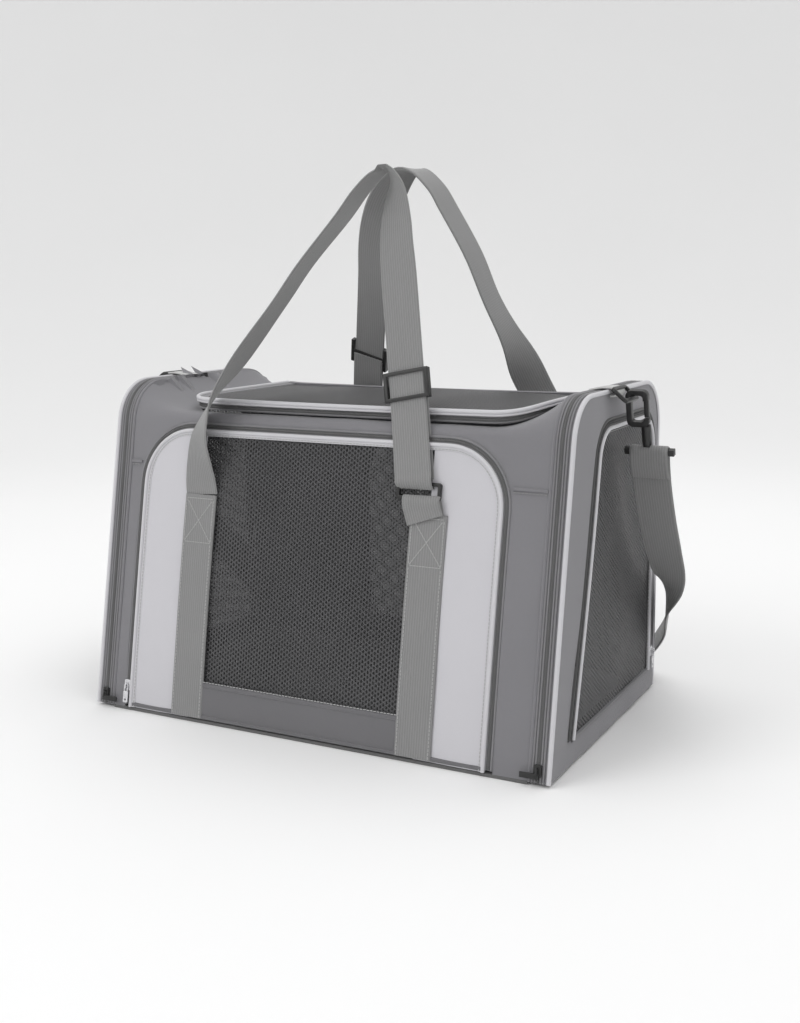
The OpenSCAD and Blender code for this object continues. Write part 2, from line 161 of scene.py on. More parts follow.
class Shader:
    """A material's node tree, with one method that makes every node."""

    def __init__(self, name: str, constants: dict[str, object]) -> None:
        """Makes a material with one Principled shader.

        Args:
            name: The material's name.
            constants: What is the same all over the surface, by the shader's socket.
        """
        self.material = bpy.data.materials.new(name)
        self.material.use_nodes = True
        self.tree = self.material.node_tree
        self.tree.nodes.clear()
        self.surface = self.node("ShaderNodeBsdfPrincipled", {}, constants)
        self.node("ShaderNodeOutputMaterial", {}, {"Surface": self.surface.outputs[0]})

    def node(
        self, kind: str, settings: dict[str, object], inputs: dict[str | int, object]
    ) -> bpy.types.Node:
        """Adds a node.

        Args:
            kind: The node's type.
            settings: The node's own settings, which are set first.
            inputs: A value, a socket or a Number for each input, by name or place.

        Returns:
            The new node.
        """
        made = self.tree.nodes.new(kind)
        for key, value in settings.items():
            setattr(made, key, value)
        for key, value in inputs.items():
            if isinstance(value, Number):
                value = value.socket
            if isinstance(value, bpy.types.NodeSocket):
                self.tree.links.new(value, made.inputs[key])
            else:
                made.inputs[key].default_value = value
        return made

    def coordinates(self, output: str) -> bpy.types.NodeSocket:
        """The UV or Object output of a Texture Coordinate node."""
        return self.node("ShaderNodeTexCoord", {}, {}).outputs[output]

    def axes(self, vector: bpy.types.NodeSocket) -> list[Number]:
        """The three numbers of a vector."""
        split = self.node("ShaderNodeSeparateXYZ", {}, {0: vector})
        return [Number(self, socket) for socket in split.outputs]

    def noise(self, scale: float, detail: float = 3.0) -> Number:
        """Cloudy noise on Object coordinates, from 0 to 1.

        Args:
            scale: Features per metre.
            detail: How many finer layers it has.

        Returns:
            The noise as a number.
        """
        where = self.coordinates("Object")
        made = self.node("ShaderNodeTexNoise", {}, {"Vector": where, "Scale": scale, "Detail": detail})
        return Number(self, made.outputs[0])

    def mix(self, factor: Number, low: Colour, high: Colour) -> bpy.types.NodeSocket:
        """A colour that goes from low to high with the factor."""
        made = self.node(
            "ShaderNodeMix", {"data_type": "RGBA"}, {0: factor, 6: (*low, 1), 7: (*high, 1)}
        )
        return made.outputs[2]

    def shade(self, colour: bpy.types.NodeSocket, factor: Number) -> bpy.types.NodeSocket:
        """The colour, darkened towards black as the factor falls under 1."""
        level = self.node("ShaderNodeCombineColor", {}, {0: factor, 1: factor, 2: factor})
        made = self.node(
            "ShaderNodeMix",
            {"data_type": "RGBA", "blend_type": "MULTIPLY"},
            {0: 1.0, 6: colour, 7: level.outputs[0]},
        )
        return made.outputs[2]

    def feed(self, socket: str, value: "bpy.types.NodeSocket | Number") -> None:
        """Links what changes over the surface to the shader's socket."""
        source = value.socket if isinstance(value, Number) else value
        self.tree.links.new(source, self.surface.inputs[socket])

    def bump(self, height: Number, distance: float, strength: float = 1.0) -> None:
        """Raises the surface by height times distance.

        Args:
            height: From 0, low, to 1, high.
            distance: How far apart low and high are, in metres.
            strength: The share of the effect.
        """
        made = self.node(
            "ShaderNodeBump", {}, {"Height": height, "Distance": distance, "Strength": strength}
        )
        self.feed("Normal", made.outputs[0])


@dataclass(frozen=True)
class Cloth:
    """Woven polyester, with threads that cross at the pitch."""

    name: str
    colour: Colour
    pitch: float = 1.0 * MM
    relief: float = 0.12 * MM
    contrast: float = 0.16
    sheen: float = 0.25
    roughness: float = 0.82

    @functools.cache
    def material(self) -> bpy.types.Material:
        """The cloth's material."""
        shader = Shader(
            self.name,
            {"Sheen Weight": self.sheen, "Sheen Roughness": 0.45, "Specular IOR Level": 0.3},
        )
        along, across, _ = shader.axes(shader.coordinates("UV"))
        warp = (along / self.pitch).cosine()
        weft = (across / self.pitch).cosine()
        threads = warp * weft * 0.5 + 0.5
        slub = shader.noise(420.0, 2.0)
        cloud = shader.noise(9.0)
        height = threads * 0.7 + slub * 0.3
        dark = tuple(c * (1 - self.contrast) for c in self.colour)
        light = tuple(c * (1 + self.contrast) for c in self.colour)
        shader.feed("Base Color", shader.mix(height * 0.5 + cloud * 0.5, dark, light))
        shader.feed("Roughness", cloud * 0.12 + (self.roughness - 0.06))
        shader.bump(height, self.relief)
        return shader.material


@dataclass(frozen=True)
class Net:
    """Knitted net with six-sided holes, which are painted near black as painted shade of the dark inside and
    show some of what is behind them.
    """

    name: str
    strand: Colour
    # hole: the colour painted into the holes, a painted shade of the bag's dark inside, laid over them at the
    # hole_alpha share
    hole: Colour
    pitch: float = 4.0 * MM
    hole_alpha: float = 0.7
    stretch: float = 0.78
    relief: float = 0.5 * MM

    @functools.cache
    def material(self) -> bpy.types.Material:
        """The net's material."""
        shader = Shader(
            self.name, {"Roughness": 0.55, "Specular IOR Level": 0.45, "Sheen Weight": 0.1}
        )
        along, across, _ = shader.axes(shader.coordinates("UV"))
        across = across / self.pitch
        along = along / (self.pitch * self.stretch)
        slant = across * (math.sqrt(3) / 2)
        knit = along.cosine() + (slant - along * 0.5).cosine() + (slant + along * 0.5).cosine()
        strands = 1 - knit.between(-0.6, 0.9)
        slack = shader.noise(14.0)
        # Painted shade: the holes take the near-black hole colour, which stands for the dark inside of the
        # bag
        colour = shader.mix(strands, self.hole, self.strand)
        # Painted shade and light: the net's colour is darkened and lightened in soft patches by the slack
        # noise, for how its slack takes the light
        shader.feed("Base Color", shader.shade(colour, slack * 0.5 + 0.75))
        shader.feed("Alpha", strands * (1 - self.hole_alpha) + self.hole_alpha)
        shader.bump(strands, self.relief)
        return shader.material


@dataclass(frozen=True)
class WebbingCloth:
    """Flat woven webbing, ribbed along its length, with UVs of (along, across)."""

    name: str
    colour: Colour
    rib: float = 2.5 * MM
    pick: float = 1.3 * MM
    relief: float = 0.3 * MM

    @functools.cache
    def material(self) -> bpy.types.Material:
        """The webbing's material."""
        shader = Shader(
            self.name,
            {"Sheen Weight": 0.35, "Sheen Roughness": 0.4, "Specular IOR Level": 0.35},
        )
        along, across, _ = shader.axes(shader.coordinates("UV"))
        ribs = (across / self.rib).cosine() * 0.5 + 0.5
        picks = (along / self.pick + ribs * 0.5).cosine() * 0.5 + 0.5
        cloud = shader.noise(16.0)
        height = ribs * 0.72 + picks * 0.28
        dark = tuple(c * 0.76 for c in self.colour)
        light = tuple(c * 1.12 for c in self.colour)
        shader.feed("Base Color", shader.mix(height * 0.7 + cloud * 0.3, dark, light))
        shader.feed("Roughness", cloud * 0.15 + 0.62)
        shader.bump(height, self.relief)
        return shader.material


@dataclass(frozen=True)
class Plastic:
    """Moulded plastic with a fine grain, duller where it has been handled."""

    name: str
    colour: Colour
    roughness: float = 0.38

    @functools.cache
    def material(self) -> bpy.types.Material:
        """The plastic's material."""
        shader = Shader(self.name, {"Specular IOR Level": 0.5})
        grain, handled = shader.noise(1800.0, 2.0), shader.noise(60.0)
        light = tuple(c * 1.5 + 0.004 for c in self.colour)
        shader.feed("Base Color", shader.mix(handled, self.colour, light))
        shader.feed("Roughness", handled * 0.22 + (self.roughness - 0.08))
        shader.bump(grain, 0.05 * MM, 0.5)
        return shader.material


@dataclass(frozen=True)
class Metal:
    """Bright plated metal or drawn wire, brushed and lightly rubbed."""

    name: str
    colour: Colour
    roughness: float = 0.28

    @functools.cache
    def material(self) -> bpy.types.Material:
        """The metal's material."""
        shader = Shader(self.name, {"Metallic": 1.0})
        rubbed, brushed = shader.noise(220.0), shader.noise(2600.0, 1.0)
        dull = tuple(c * 0.7 for c in self.colour)
        shader.feed("Base Color", shader.mix(rubbed, dull, self.colour))
        shader.feed("Roughness", rubbed * 0.2 + (self.roughness - 0.1))
        shader.bump(brushed, 0.02 * MM, 0.4)
        return shader.material


@dataclass(frozen=True)
class Plush:
    """Short brushed fleece."""

    name: str
    colour: Colour

    @functools.cache
    def material(self) -> bpy.types.Material:
        """The fleece's material."""
        shader = Shader(self.name, {"Sheen Weight": 0.6, "Sheen Roughness": 0.6})
        tufts, cloud = shader.noise(620.0, 4.0), shader.noise(22.0)
        dark = tuple(c * 0.72 for c in self.colour)
        shader.feed("Base Color", shader.mix(tufts * 0.7 + cloud * 0.3, dark, self.colour))
        shader.feed("Roughness", tufts * 0.1 + 0.86)
        shader.bump(tufts, 0.9 * MM)
        return shader.material


class Finish(Enum):
    """The finishes of the bag's pieces."""

    BODY = Cloth("body_cloth", grey(0.2, 0.06))
    LIGHT = Cloth("light_cloth", grey(0.55, 0.05), contrast=0.07)
    BAND = Cloth("band_cloth", grey(0.15, 0.05))
    PIPING = Cloth("piping_cloth", grey(0.58, 0.04), pitch=0.8 * MM, contrast=0.06, roughness=0.6)
    BASE = Cloth("base_cloth", grey(0.12), pitch=1.6 * MM)
    TAPE = Cloth("zip_tape", grey(0.21, 0.04), pitch=1.2 * MM, contrast=0.3)
    DARK_TAPE = Cloth("dark_zip_tape", grey(0.09), pitch=1.2 * MM, contrast=0.3)
    # NET: its near-black hole colour is painted shade of the bag's dark inside, seen through the holes
    NET = Net("net", grey(0.055, 0.06), grey(0.004))
    WEBBING = WebbingCloth("webbing", grey(0.245, 0.0))
    LIGHT_WEBBING = WebbingCloth("ring_tab_webbing", grey(0.55, -0.01), rib=2 * MM)
    THREAD = Cloth("thread", grey(0.25), pitch=0.4 * MM, relief=0.05 * MM)
    LIGHT_THREAD = Cloth("light_thread", grey(0.38), pitch=0.4 * MM, relief=0.05 * MM)
    TEETH = Plastic("zip_teeth", grey(0.09), 0.45)
    DARK_TEETH = Plastic("dark_zip_teeth", grey(0.03), 0.45)
    PLASTIC = Plastic("black_plastic", grey(0.012))
    METAL = Metal("plated_metal", (0.78, 0.78, 0.8))
    WIRE = Metal("spring_wire", (0.55, 0.55, 0.57), 0.4)
    BOARD = Plastic("base_board", grey(0.03), 0.7)
    PLUSH = Plush("plush", grey(0.6, 0.02))

    @property
    def material(self) -> bpy.types.Material:
        """The Blender material of the finish."""
        return self.value.material()


class Slot(Enum):
    """The names of the material slots."""

    BODY = "body_fabric"
    LIGHT = "light_fabric"
    MESH = "mesh"
    PIPING = "piping"
    WEBBING = "webbing"
    ZIP = "zip_tape"
    METAL = "zip_metal"
    PLASTIC = "black_plastic"
    WIRE = "spring_wire"
    BOARD = "board"
    PLUSH = "plush"


# ---------------------------------------------------------------- lines, surfaces and cloth


def fillet(points: Sequence[Flat], radius: float, turn: float = math.radians(9)) -> list[Flat]:
    """An open line through the points, with its inner corners rounded.

    Args:
        points: The line's corners.
        radius: The radius of every inner corner.
        turn: The most that one step turns by.

    Returns:
        The points of the rounded line.
    """
    line = [points[0]]
    for before, corner, after in zip(points, points[1:], points[2:]):
        p = Vector(corner)
        back, on = (Vector(before) - p).normalized(), (Vector(after) - p).normalized()
        half = back.angle(on) / 2
        centre = p + (back + on).normalized() * (radius / math.sin(half))
        start = p + back * (radius / math.tan(half)) - centre
        swing = math.pi - 2 * half
        if back.x * on.y - back.y * on.x > 0:
            swing = -swing
        steps = max(2, math.ceil(abs(swing) / turn))
        for i in range(steps + 1):
            x, y = centre + Matrix.Rotation(swing * i / steps, 2) @ start
            line.append((x, y))
    line.append(points[-1])
    return line


def offset(line: Sequence[Flat], distance: float) -> list[Flat]:
    """The line moved to its left by the distance."""
    p = np.array(line)
    step = np.gradient(p, axis=0)
    step /= np.linalg.norm(step, axis=1)[:, None]
    return [(float(x), float(y)) for x, y in p + distance * np.stack([-step[:, 1], step[:, 0]], 1)]


def resample(line: Sequence[Sequence[float]], pitch: float) -> np.ndarray:
    """Even points along a line, about a pitch apart."""
    p = np.array(line, float)
    run = np.concatenate([[0], np.cumsum(np.linalg.norm(np.diff(p, axis=0), axis=1))])
    at = np.linspace(0, run[-1], max(2, round(run[-1] / pitch) + 1))
    return np.stack([np.interp(at, run, p[:, k]) for k in range(p.shape[1])], 1)


def spline(points: Sequence[Sequence[float]], steps: int = 6) -> np.ndarray:
    """A smooth line through all the points (Catmull-Rom), with that many steps between two of them."""
    p = np.array(points, float)
    p = np.vstack([2 * p[0] - p[1], p, 2 * p[-1] - p[-2]])
    made = []
    for a, b, c, d in zip(p, p[1:], p[2:], p[3:]):
        for t in np.arange(steps) / steps:
            curve = 2 * b + (c - a) * t + (2 * a - 5 * b + 4 * c - d) * t**2
            made.append(0.5 * (curve + (3 * b - a - 3 * c + d) * t**3))
    return np.array([*made, p[-2]])


@dataclass(frozen=True)
class Sizes:
    """The bag's driving sizes. The end profile is seen from the right end: Y to the right, Z up."""

    half_length: float = 252 * MM
    half_depth: float = 152.4 * MM
    hoop_height: float = 332.8 * MM
    lean: float = 60 * MM
    hoop_radius: float = 45 * MM
    top_height: float = 305 * MM
    top_radius: float = 9 * MM
    rim_inner: float = 231 * MM
    low: float = 3 * MM
    wall: float = 3 * MM
    ramp_start: float = 168 * MM
    bulge: float = 3.5 * MM

    @property
    def tilt(self) -> float:
        """The angle that the front leans back by."""
        return math.atan(self.lean / self.hoop_height)

    def profile(self, height: float, radius: float) -> list[Flat]:
        """The bag's outline at an end, from the rear's foot over the top to the front's foot.

        Args:
            height: The height of the flat top.
            radius: The radius of both upper corners.

        Returns:
            Points (y, z).
        """
        back = lambda z: -self.half_depth + self.lean * z / self.hoop_height
        corners = [
            (self.half_depth, self.low),
            (self.half_depth, height),
            (back(height), height),
            (back(self.low), self.low),
        ]
        return fillet(corners, radius, math.radians(6))

    def ramp(self, x: float) -> float:
        """How far the cloth top has risen from the middle's profile, 0, to the hoop's, 1, at x."""
        t = (abs(x) - self.ramp_start) / (self.rim_inner - self.ramp_start)
        return max(0.0, min(1.0, t)) ** 2

    def _arch(self, y: float, height: float, radius: float) -> float:
        """The height of one profile's top at y."""
        front = -self.half_depth + self.lean * height / self.hoop_height
        front += radius * math.tan((math.pi / 2 - self.tilt) / 2)
        over = max(0.0, front - y, y - (self.half_depth - radius))
        return height - radius + math.sqrt(max(0.0, radius**2 - min(over, radius) ** 2))

    def top(self, x: float, y: float) -> float:
        """The height of the cloth top at a place."""
        rise = self.ramp(x)
        middle = self._arch(y, self.top_height, self.top_radius)
        return middle * (1 - rise) + self._arch(y, self.hoop_height, self.hoop_radius) * rise


SIZES = Sizes()


class Surface:
    """A smooth surface that flat cloth and trim are laid on. Subclasses give its points."""

    def point(self, u: float, v: float) -> Vector:
        """The place of the flat point (u, v)."""
        raise NotImplementedError

    def lay(self, u: float, v: float, w: float) -> Vector:
        """The place of the flat point (u, v) raised by w."""
        step = 0.2 * MM
        across = self.point(u + step, v) - self.point(u - step, v)
        up = self.point(u, v + step) - self.point(u, v - step)
        return self.point(u, v) + across.cross(up).normalized() * w


class FrontFace(Surface):
    """The leaning front: u along +X, v up the wall, with the soft bulge of the filled bag."""

    def point(self, u: float, v: float) -> Vector:
        """The place of the flat point (u, v)."""
        tilt = SIZES.tilt
        rise = math.sin(math.pi * min(1.0, max(0.0, v / SIZES.top_height)))
        out = SIZES.bulge * rise * max(0.0, 1 - (u / SIZES.rim_inner) ** 2)
        y = -SIZES.half_depth + v * math.sin(tilt) - out * math.cos(tilt)
        return Vector((u, y, v * math.cos(tilt) + out * math.sin(tilt)))


class RearFace(Surface):
    """The upright rear, seen from behind: u along -X, v up."""

    def point(self, u: float, v: float) -> Vector:
        """The place of the flat point (u, v)."""
        rise = math.sin(math.pi * min(1.0, max(0.0, v / SIZES.top_height)))
        out = SIZES.bulge * rise * max(0.0, 1 - (u / SIZES.rim_inner) ** 2)
        return Vector((-u, SIZES.half_depth + out, v))


@dataclass
class EndFace(Surface):
    """The right end: u along +Y, v up, bulging by the given depth."""

    x: float
    bulge: float = 2 * MM

    def point(self, u: float, v: float) -> Vector:
        """The place of the flat point (u, v)."""
        rise = math.sin(math.pi * min(1.0, max(0.0, v / SIZES.hoop_height)))
        out = self.bulge * rise * max(0.0, 1 - (u / SIZES.half_depth) ** 2)
        return Vector((self.x + out, u, v))


@dataclass
class LidFace(Surface):
    """The lid's plane: u along +X, v along +Y, rising towards the ends as the cloth under it does."""

    height: float
    share: float = 0.55

    def point(self, u: float, v: float) -> Vector:
        """The place of the flat point (u, v)."""
        rise = self.share * (SIZES.top(u, v) - SIZES.top(0, v))
        sag = 1.5 * MM * math.cos(math.pi * min(0.5, abs(u) / 0.43))
        return Vector((u, v, self.height + rise - sag))


class Skin(Surface):
    """The cloth skin of the middle: u along +X and v along the middle's profile, up the front and over."""

    def __init__(self) -> None:
        """Works out where the profile's straight and round stretches end."""
        corner = SIZES.top_height / math.cos(SIZES.tilt)
        self.turn = math.pi / 2 - SIZES.tilt
        cut = SIZES.top_radius * math.tan(self.turn / 2)
        self.front_end = corner - cut
        self.top_start = self.front_end + SIZES.top_radius * self.turn
        self.top_y = -SIZES.half_depth + SIZES.lean * SIZES.top_height / SIZES.hoop_height + cut
        self.top_end = self.top_start + SIZES.half_depth - SIZES.top_radius - self.top_y
        self.rear_start = self.top_end + SIZES.top_radius * math.pi / 2
        self.shoulder = SIZES.top_height - SIZES.top_radius
        self.length = self.rear_start + self.shoulder
        self.front = FrontFace()
        self.rear = RearFace()

    def at_y(self, y: float) -> float:
        """v of a place on the flat top."""
        return self.top_start + y - self.top_y

    def at_rear(self, z: float) -> float:
        """v of a height on the rear."""
        return self.rear_start + self.shoulder - z

    def point(self, u: float, v: float) -> Vector:
        """The place of the flat point (u, v)."""
        if v <= self.front_end:
            return self.front.point(u, v)
        if v < self.top_start:
            swing = SIZES.tilt + (v - self.front_end) / SIZES.top_radius
            y = self.top_y - SIZES.top_radius * math.cos(swing)
            middle = self.shoulder + SIZES.top_radius * math.sin(swing)
        elif v <= self.top_end:
            y, middle = self.top_y + v - self.top_start, SIZES.top_height
        elif v < self.rear_start:
            swing = (v - self.top_end) / SIZES.top_radius
            y = SIZES.half_depth - SIZES.top_radius * (1 - math.sin(swing))
            middle = self.shoulder + SIZES.top_radius * math.cos(swing)
        else:
            edge = SIZES.top(u, SIZES.half_depth - 0.01 * MM) if SIZES.ramp(u) > 0 else self.shoulder
            share = 1 - (v - self.rear_start) / self.shoulder
            return self.rear.point(-u, edge * share)
        rise = SIZES.ramp(u)
        z = middle + (SIZES.top(u, y) - SIZES._arch(y, SIZES.top_height, SIZES.top_radius))
        if rise == 0:
            z = middle
        return Vector((u, y, z))


class Rail:
    """A line in space with its sideways and outward directions, which flat trim is bent along."""

    def __init__(self, points: np.ndarray, ups: np.ndarray) -> None:
        """Makes a rail.

        Args:
            points: Its points, in order.
            ups: The outward direction at each.
        """
        self.points = np.array(points, float)
        along = np.gradient(self.points, axis=0)
        along /= np.linalg.norm(along, axis=1)[:, None]
        ups = np.array(ups, float)
        ups = ups - (ups * along).sum(1)[:, None] * along
        self.ups = ups / np.linalg.norm(ups, axis=1)[:, None]
        self.sides = np.cross(self.ups, along)
        gaps = np.linalg.norm(np.diff(self.points, axis=0), axis=1)
        self.run = np.concatenate([[0], np.cumsum(gaps)])
        self.length = float(self.run[-1])

    @classmethod
    def on(cls, surface: Surface, line: Sequence[Flat], rise: float = 0.0, pitch: float = 5 * MM) -> "Rail":
        """A rail along a flat line laid on a surface.

        Args:
            surface: The surface.
            line: The flat line.
            rise: The height over the surface.
            pitch: The spacing of the rail's points.

        Returns:
            The rail, whose outward direction is the surface's.
        """
        flat = resample(line, pitch)
        points = np.array([surface.lay(u, v, rise) for u, v in flat])
        above = np.array([surface.lay(u, v, rise + MM) for u, v in flat])
        return cls(points, above - points)

    @classmethod
    def strap(cls, route: Sequence[Sequence[float]], widths: Sequence[Sequence[float]]) -> "Rail":
        """A rail through a webbing's route, in millimetres, with the width's direction at each point."""
        points, wide = spline(route) * MM, spline(widths)
        along = np.gradient(points, axis=0)
        return cls(points, np.cross(along, wide))

    def shifted(self, side: float, up: float) -> "Rail":
        """The rail moved sideways and outwards."""
        return Rail(self.points + self.sides * side + self.ups * up, self.ups)

    def part(self, start: float, end: float) -> "Rail":
        """The stretch of the rail between two lengths along it."""
        at = np.linspace(start, end, max(2, round((end - start) / (4 * MM)) + 1))
        pick = lambda rows: np.stack([np.interp(at, self.run, rows[:, k]) for k in range(3)], 1)
        return Rail(pick(self.points), pick(self.ups))

    def bend(self, bm: Mesh) -> Mesh:
        """Moves every vertex from flat (along, side, up) to its place on the rail."""
        flat = np.array([v.co for v in bm.verts])
        pick = lambda rows: np.stack([np.interp(flat[:, 0], self.run, rows[:, k]) for k in range(3)], 1)
        placed = pick(self.points) + pick(self.sides) * flat[:, 1:2] + pick(self.ups) * flat[:, 2:3]
        for vertex, place in zip(bm.verts, placed):
            vertex.co = place
        return bm


def map_uv(bm: Mesh) -> None:
    """Keeps the flat place of every face corner as its UV, in metres."""
    layer = bm.loops.layers.uv.verify()
    for face in bm.faces:
        for loop in face.loops:
            loop[layer].uv = loop.vert.co.xy


def sweep(rail: Rail, section: Sequence[Flat], closed: bool = True, pitch: float = 4 * MM) -> Mesh:
    """A section, given as (side, up) points, drawn along a rail.

    Args:
        rail: The rail.
        section: The section's points.
        closed: Whether the section is a ring, which gets capped ends, or an open strip.
        pitch: The length of one step along the rail.

    Returns:
        The mesh, with UVs of (along, round the section), in metres.
    """
    ring = [*section, section[0]] if closed else list(section)
    across, steps = len(ring) - 1, max(2, round(rail.length / pitch))
    around = np.concatenate([[0], np.cumsum([math.dist(a, b) for a, b in zip(ring, ring[1:])])])
    bm = bmesh.new()
    bmesh.ops.create_grid(bm, x_segments=steps, y_segments=across, size=1)
    layer = bm.loops.layers.uv.verify()
    places = {v: ((v.co.x + 1) / 2 * rail.length, round((v.co.y + 1) / 2 * across)) for v in bm.verts}
    for face in bm.faces:
        for loop in face.loops:
            run, j = places[loop.vert]
            loop[layer].uv = (run, around[j])
    for vertex, (run, j) in places.items():
        vertex.co = (run, *ring[j])
    rail.bend(bm)
    if closed:
        bmesh.ops.remove_doubles(bm, verts=bm.verts, dist=0.001 * MM)
        bmesh.ops.holes_fill(bm, edges=[e for e in bm.edges if e.is_boundary], sides=0)
        bmesh.ops.recalc_face_normals(bm, faces=bm.faces)
    return bm


def round_section(radius: float, side: float = 0.0, up: float = 0.0, count: int = 10) -> list[Flat]:
    """A circle of points round (side, up)."""
    turns = [math.tau * i / count for i in range(count)]
    return [(side + radius * math.cos(a), up + radius * math.sin(a)) for a in turns]


def strap_section(width: float, thickness: float, low: float = 0.0) -> list[Flat]:
    """The section of flat webbing with soft edges, from low to low + thickness."""
    half, mid = width / 2, low + thickness / 2
    count, edge = 8, 0.06
    top = [(half * (1 - edge) * (1 - 2 * i / count), low + thickness) for i in range(count + 1)]
    under = [(-side, low) for side, _ in top]
    return [(half, mid), *top, (-half, mid), *under]


def new_object(name: str, bm: Mesh, material: bpy.types.Material | None = None) -> bpy.types.Object:
    """A smooth-shaded object of the mesh, with sharp edges where faces turn by over 40 degrees."""
    mesh = bpy.data.meshes.new(name)
    bm.to_mesh(mesh)
    bm.free()
    mesh.shade_smooth()
    mesh.set_sharp_from_angle(angle=SHARP_TURN)
    made = bpy.data.objects.new(name, mesh)
    bpy.context.scene.collection.objects.link(made)
    if material:
        mesh.materials.append(material)
    return made


def final_mesh(obj: bpy.types.Object) -> Mesh:
    """The object's mesh with its modifiers applied. The object is removed."""
    graph = bpy.context.evaluated_depsgraph_get()
    bm = bmesh.new()
    bm.from_object(obj, graph)
    bpy.data.objects.remove(obj)
    return bm


def repeated(bm: Mesh, count: int, pitch: float) -> Mesh:
    """The mesh, count times along X."""
    obj = new_object("repeated", bm)
    array = obj.modifiers.new("array", "ARRAY")
    array.use_relative_offset = False
    array.use_constant_offset = True
    array.constant_offset_displace = (pitch, 0, 0)
    array.count = count
    return final_mesh(obj)


def joined(meshes: Sequence[Mesh]) -> Mesh:
    """All the meshes as one."""
    whole = bmesh.new()
    for bm in meshes:
        held = bpy.data.meshes.new("held")
        bm.to_mesh(held)
        bm.free()
        whole.from_mesh(held)
        bpy.data.meshes.remove(held)
    return whole


def box(low: Sequence[float], high: Sequence[float], bevel: float = 0.0) -> Mesh:
    """A block between two corners, with bevelled edges.

    Args:
        low: The lowest corner.
        high: The highest corner.
        bevel: The width of its rounded edges.

    Returns:
        The block.
    """
    bm = bmesh.new()
    bmesh.ops.create_cube(bm, size=1)
    a, b = Vector(low), Vector(high)
    bmesh.ops.scale(bm, vec=b - a, verts=bm.verts)
    bmesh.ops.translate(bm, vec=(a + b) / 2, verts=bm.verts)
    if bevel:
        bmesh.ops.bevel(
            bm, geom=bm.edges, offset=bevel, segments=2, profile=0.5, affect="EDGES", material=-1
        )
    return bm


def prism(outline: Sequence[Flat], low: float, high: float) -> Mesh:
    """A flat outline made solid from low to high."""
    bm = bmesh.new()
    face = bm.faces.new([bm.verts.new((x, y, low)) for x, y in outline])
    raised = bmesh.ops.extrude_face_region(bm, geom=[face], use_keep_orig=True)
    up = [v for v in raised["geom"] if isinstance(v, bmesh.types.BMVert)]
    bmesh.ops.translate(bm, vec=(0, 0, high - low), verts=up)
    bmesh.ops.recalc_face_normals(bm, faces=bm.faces)
    return bm


def cut_sheet(outline: Sequence[Flat], holes: Sequence[Sequence[Flat]], cell: float = 6 * MM) -> Mesh:
    """A flat sheet of fine cells, cut to an outline.

    Args:
        outline: The sheet's closed outline.
        holes: Closed outlines of what is cut out of it.
        cell: The size of its cells.

    Returns:
        The sheet, facing +Z on z = 0, with UVs.
    """
    p = np.array(outline)
    low, high = p.min(0) - cell, p.max(0) + cell
    bm = bmesh.new()
    counts = [max(1, round(span / cell)) for span in high - low]
    bmesh.ops.create_grid(bm, x_segments=counts[0], y_segments=counts[1], size=0.5)
    bmesh.ops.scale(bm, vec=(*(high - low), 1), verts=bm.verts)
    bmesh.ops.translate(bm, vec=(*((high + low) / 2), 0), verts=bm.verts)
    thick = 5 * MM
    raised = bmesh.ops.extrude_face_region(bm, geom=list(bm.faces), use_keep_orig=True)
    up = [v for v in raised["geom"] if isinstance(v, bmesh.types.BMVert)]
    bmesh.ops.translate(bm, vec=(0, 0, thick), verts=up)
    bmesh.ops.recalc_face_normals(bm, faces=bm.faces)
    sheet = new_object("sheet", bm)
    cutters = []
    for shape, operation in [(outline, "INTERSECT"), *((hole, "DIFFERENCE") for hole in holes)]:
        cutters.append(new_object("cutter", prism(shape, -2 * thick, 3 * thick)))
        cut = sheet.modifiers.new("cut", "BOOLEAN")
        cut.operation, cut.object, cut.solver = operation, cutters[-1], "EXACT"
    bpy.context.view_layer.update()
    bm = final_mesh(sheet)
    for cutter in cutters:
        bpy.data.objects.remove(cutter)
    bm.normal_update()
    lost = [f for f in bm.faces if f.normal.z < 0.9 or f.calc_center_median().z < thick / 2]
    bmesh.ops.delete(bm, geom=lost, context="FACES")
    bmesh.ops.translate(bm, vec=(0, 0, -thick), verts=bm.verts)
    map_uv(bm)
    return bm


def laid(
    bm: Mesh,
    surface: Surface,
    rise: Callable[[float, float], float] = lambda u, v: 0.0,
    thickness: float = 0.0,
) -> Mesh:
    """A flat sheet laid on a surface.

    Args:
        bm: The flat sheet.
        surface: The surface.
        rise: Its height over the surface at (u, v), such as its padding and slack.
        thickness: How far the cloth goes inwards from there, or 0 for a single layer.

    Returns:
        The same mesh, in place.
    """
    for vertex in bm.verts:
        u, v, w = vertex.co
        vertex.co = surface.lay(u, v, w + rise(u, v))
    if thickness:
        bm.normal_update()
        bmesh.ops.solidify(bm, geom=list(bm.faces), thickness=thickness)
        bmesh.ops.recalc_face_normals(bm, faces=bm.faces)
    return bm


def ripple(u: float, v: float, size: float, scale: float = 24.0) -> float:
    """Slow, uneven slack in the cloth, up to the size."""
    return size * noise.noise(Vector((u * scale, v * scale * 0.6, 3.7)))


def pillow(t: float, low: float, high: float) -> float:
    """A soft hump over the span from low to high: 1 in its middle and 0 at its ends."""
    share = min(1.0, max(0.0, (t - low) / (high - low)))
    return math.sin(math.pi * share) ** 0.6


def stitches(rail: Rail, side: float, up: float, pitch: float = 3.6 * MM) -> Mesh:
    """A row of machine stitches along a rail.

    Args:
        rail: The rail.
        side: The row's distance to its side.
        up: The height of the cloth's face over it.
        pitch: The distance from one stitch to the next.

    Returns:
        The row.
    """
    long, wide, proud = 2.6 * MM, 0.7 * MM, 0.35 * MM
    start = 1.2 * MM
    one = box((start, side - wide / 2, up - proud), (start + long, side + wide / 2, up + proud))
    count = max(1, int((rail.length - start - long) / pitch) + 1)
    row = rail.bend(repeated(one, count, pitch))
    return row


def straight(surface: Surface, start: Flat, end: Flat, rise: float = 0.0) -> Rail:
    """A rail along a straight flat line on a surface."""
    return Rail.on(surface, [start, end], rise)


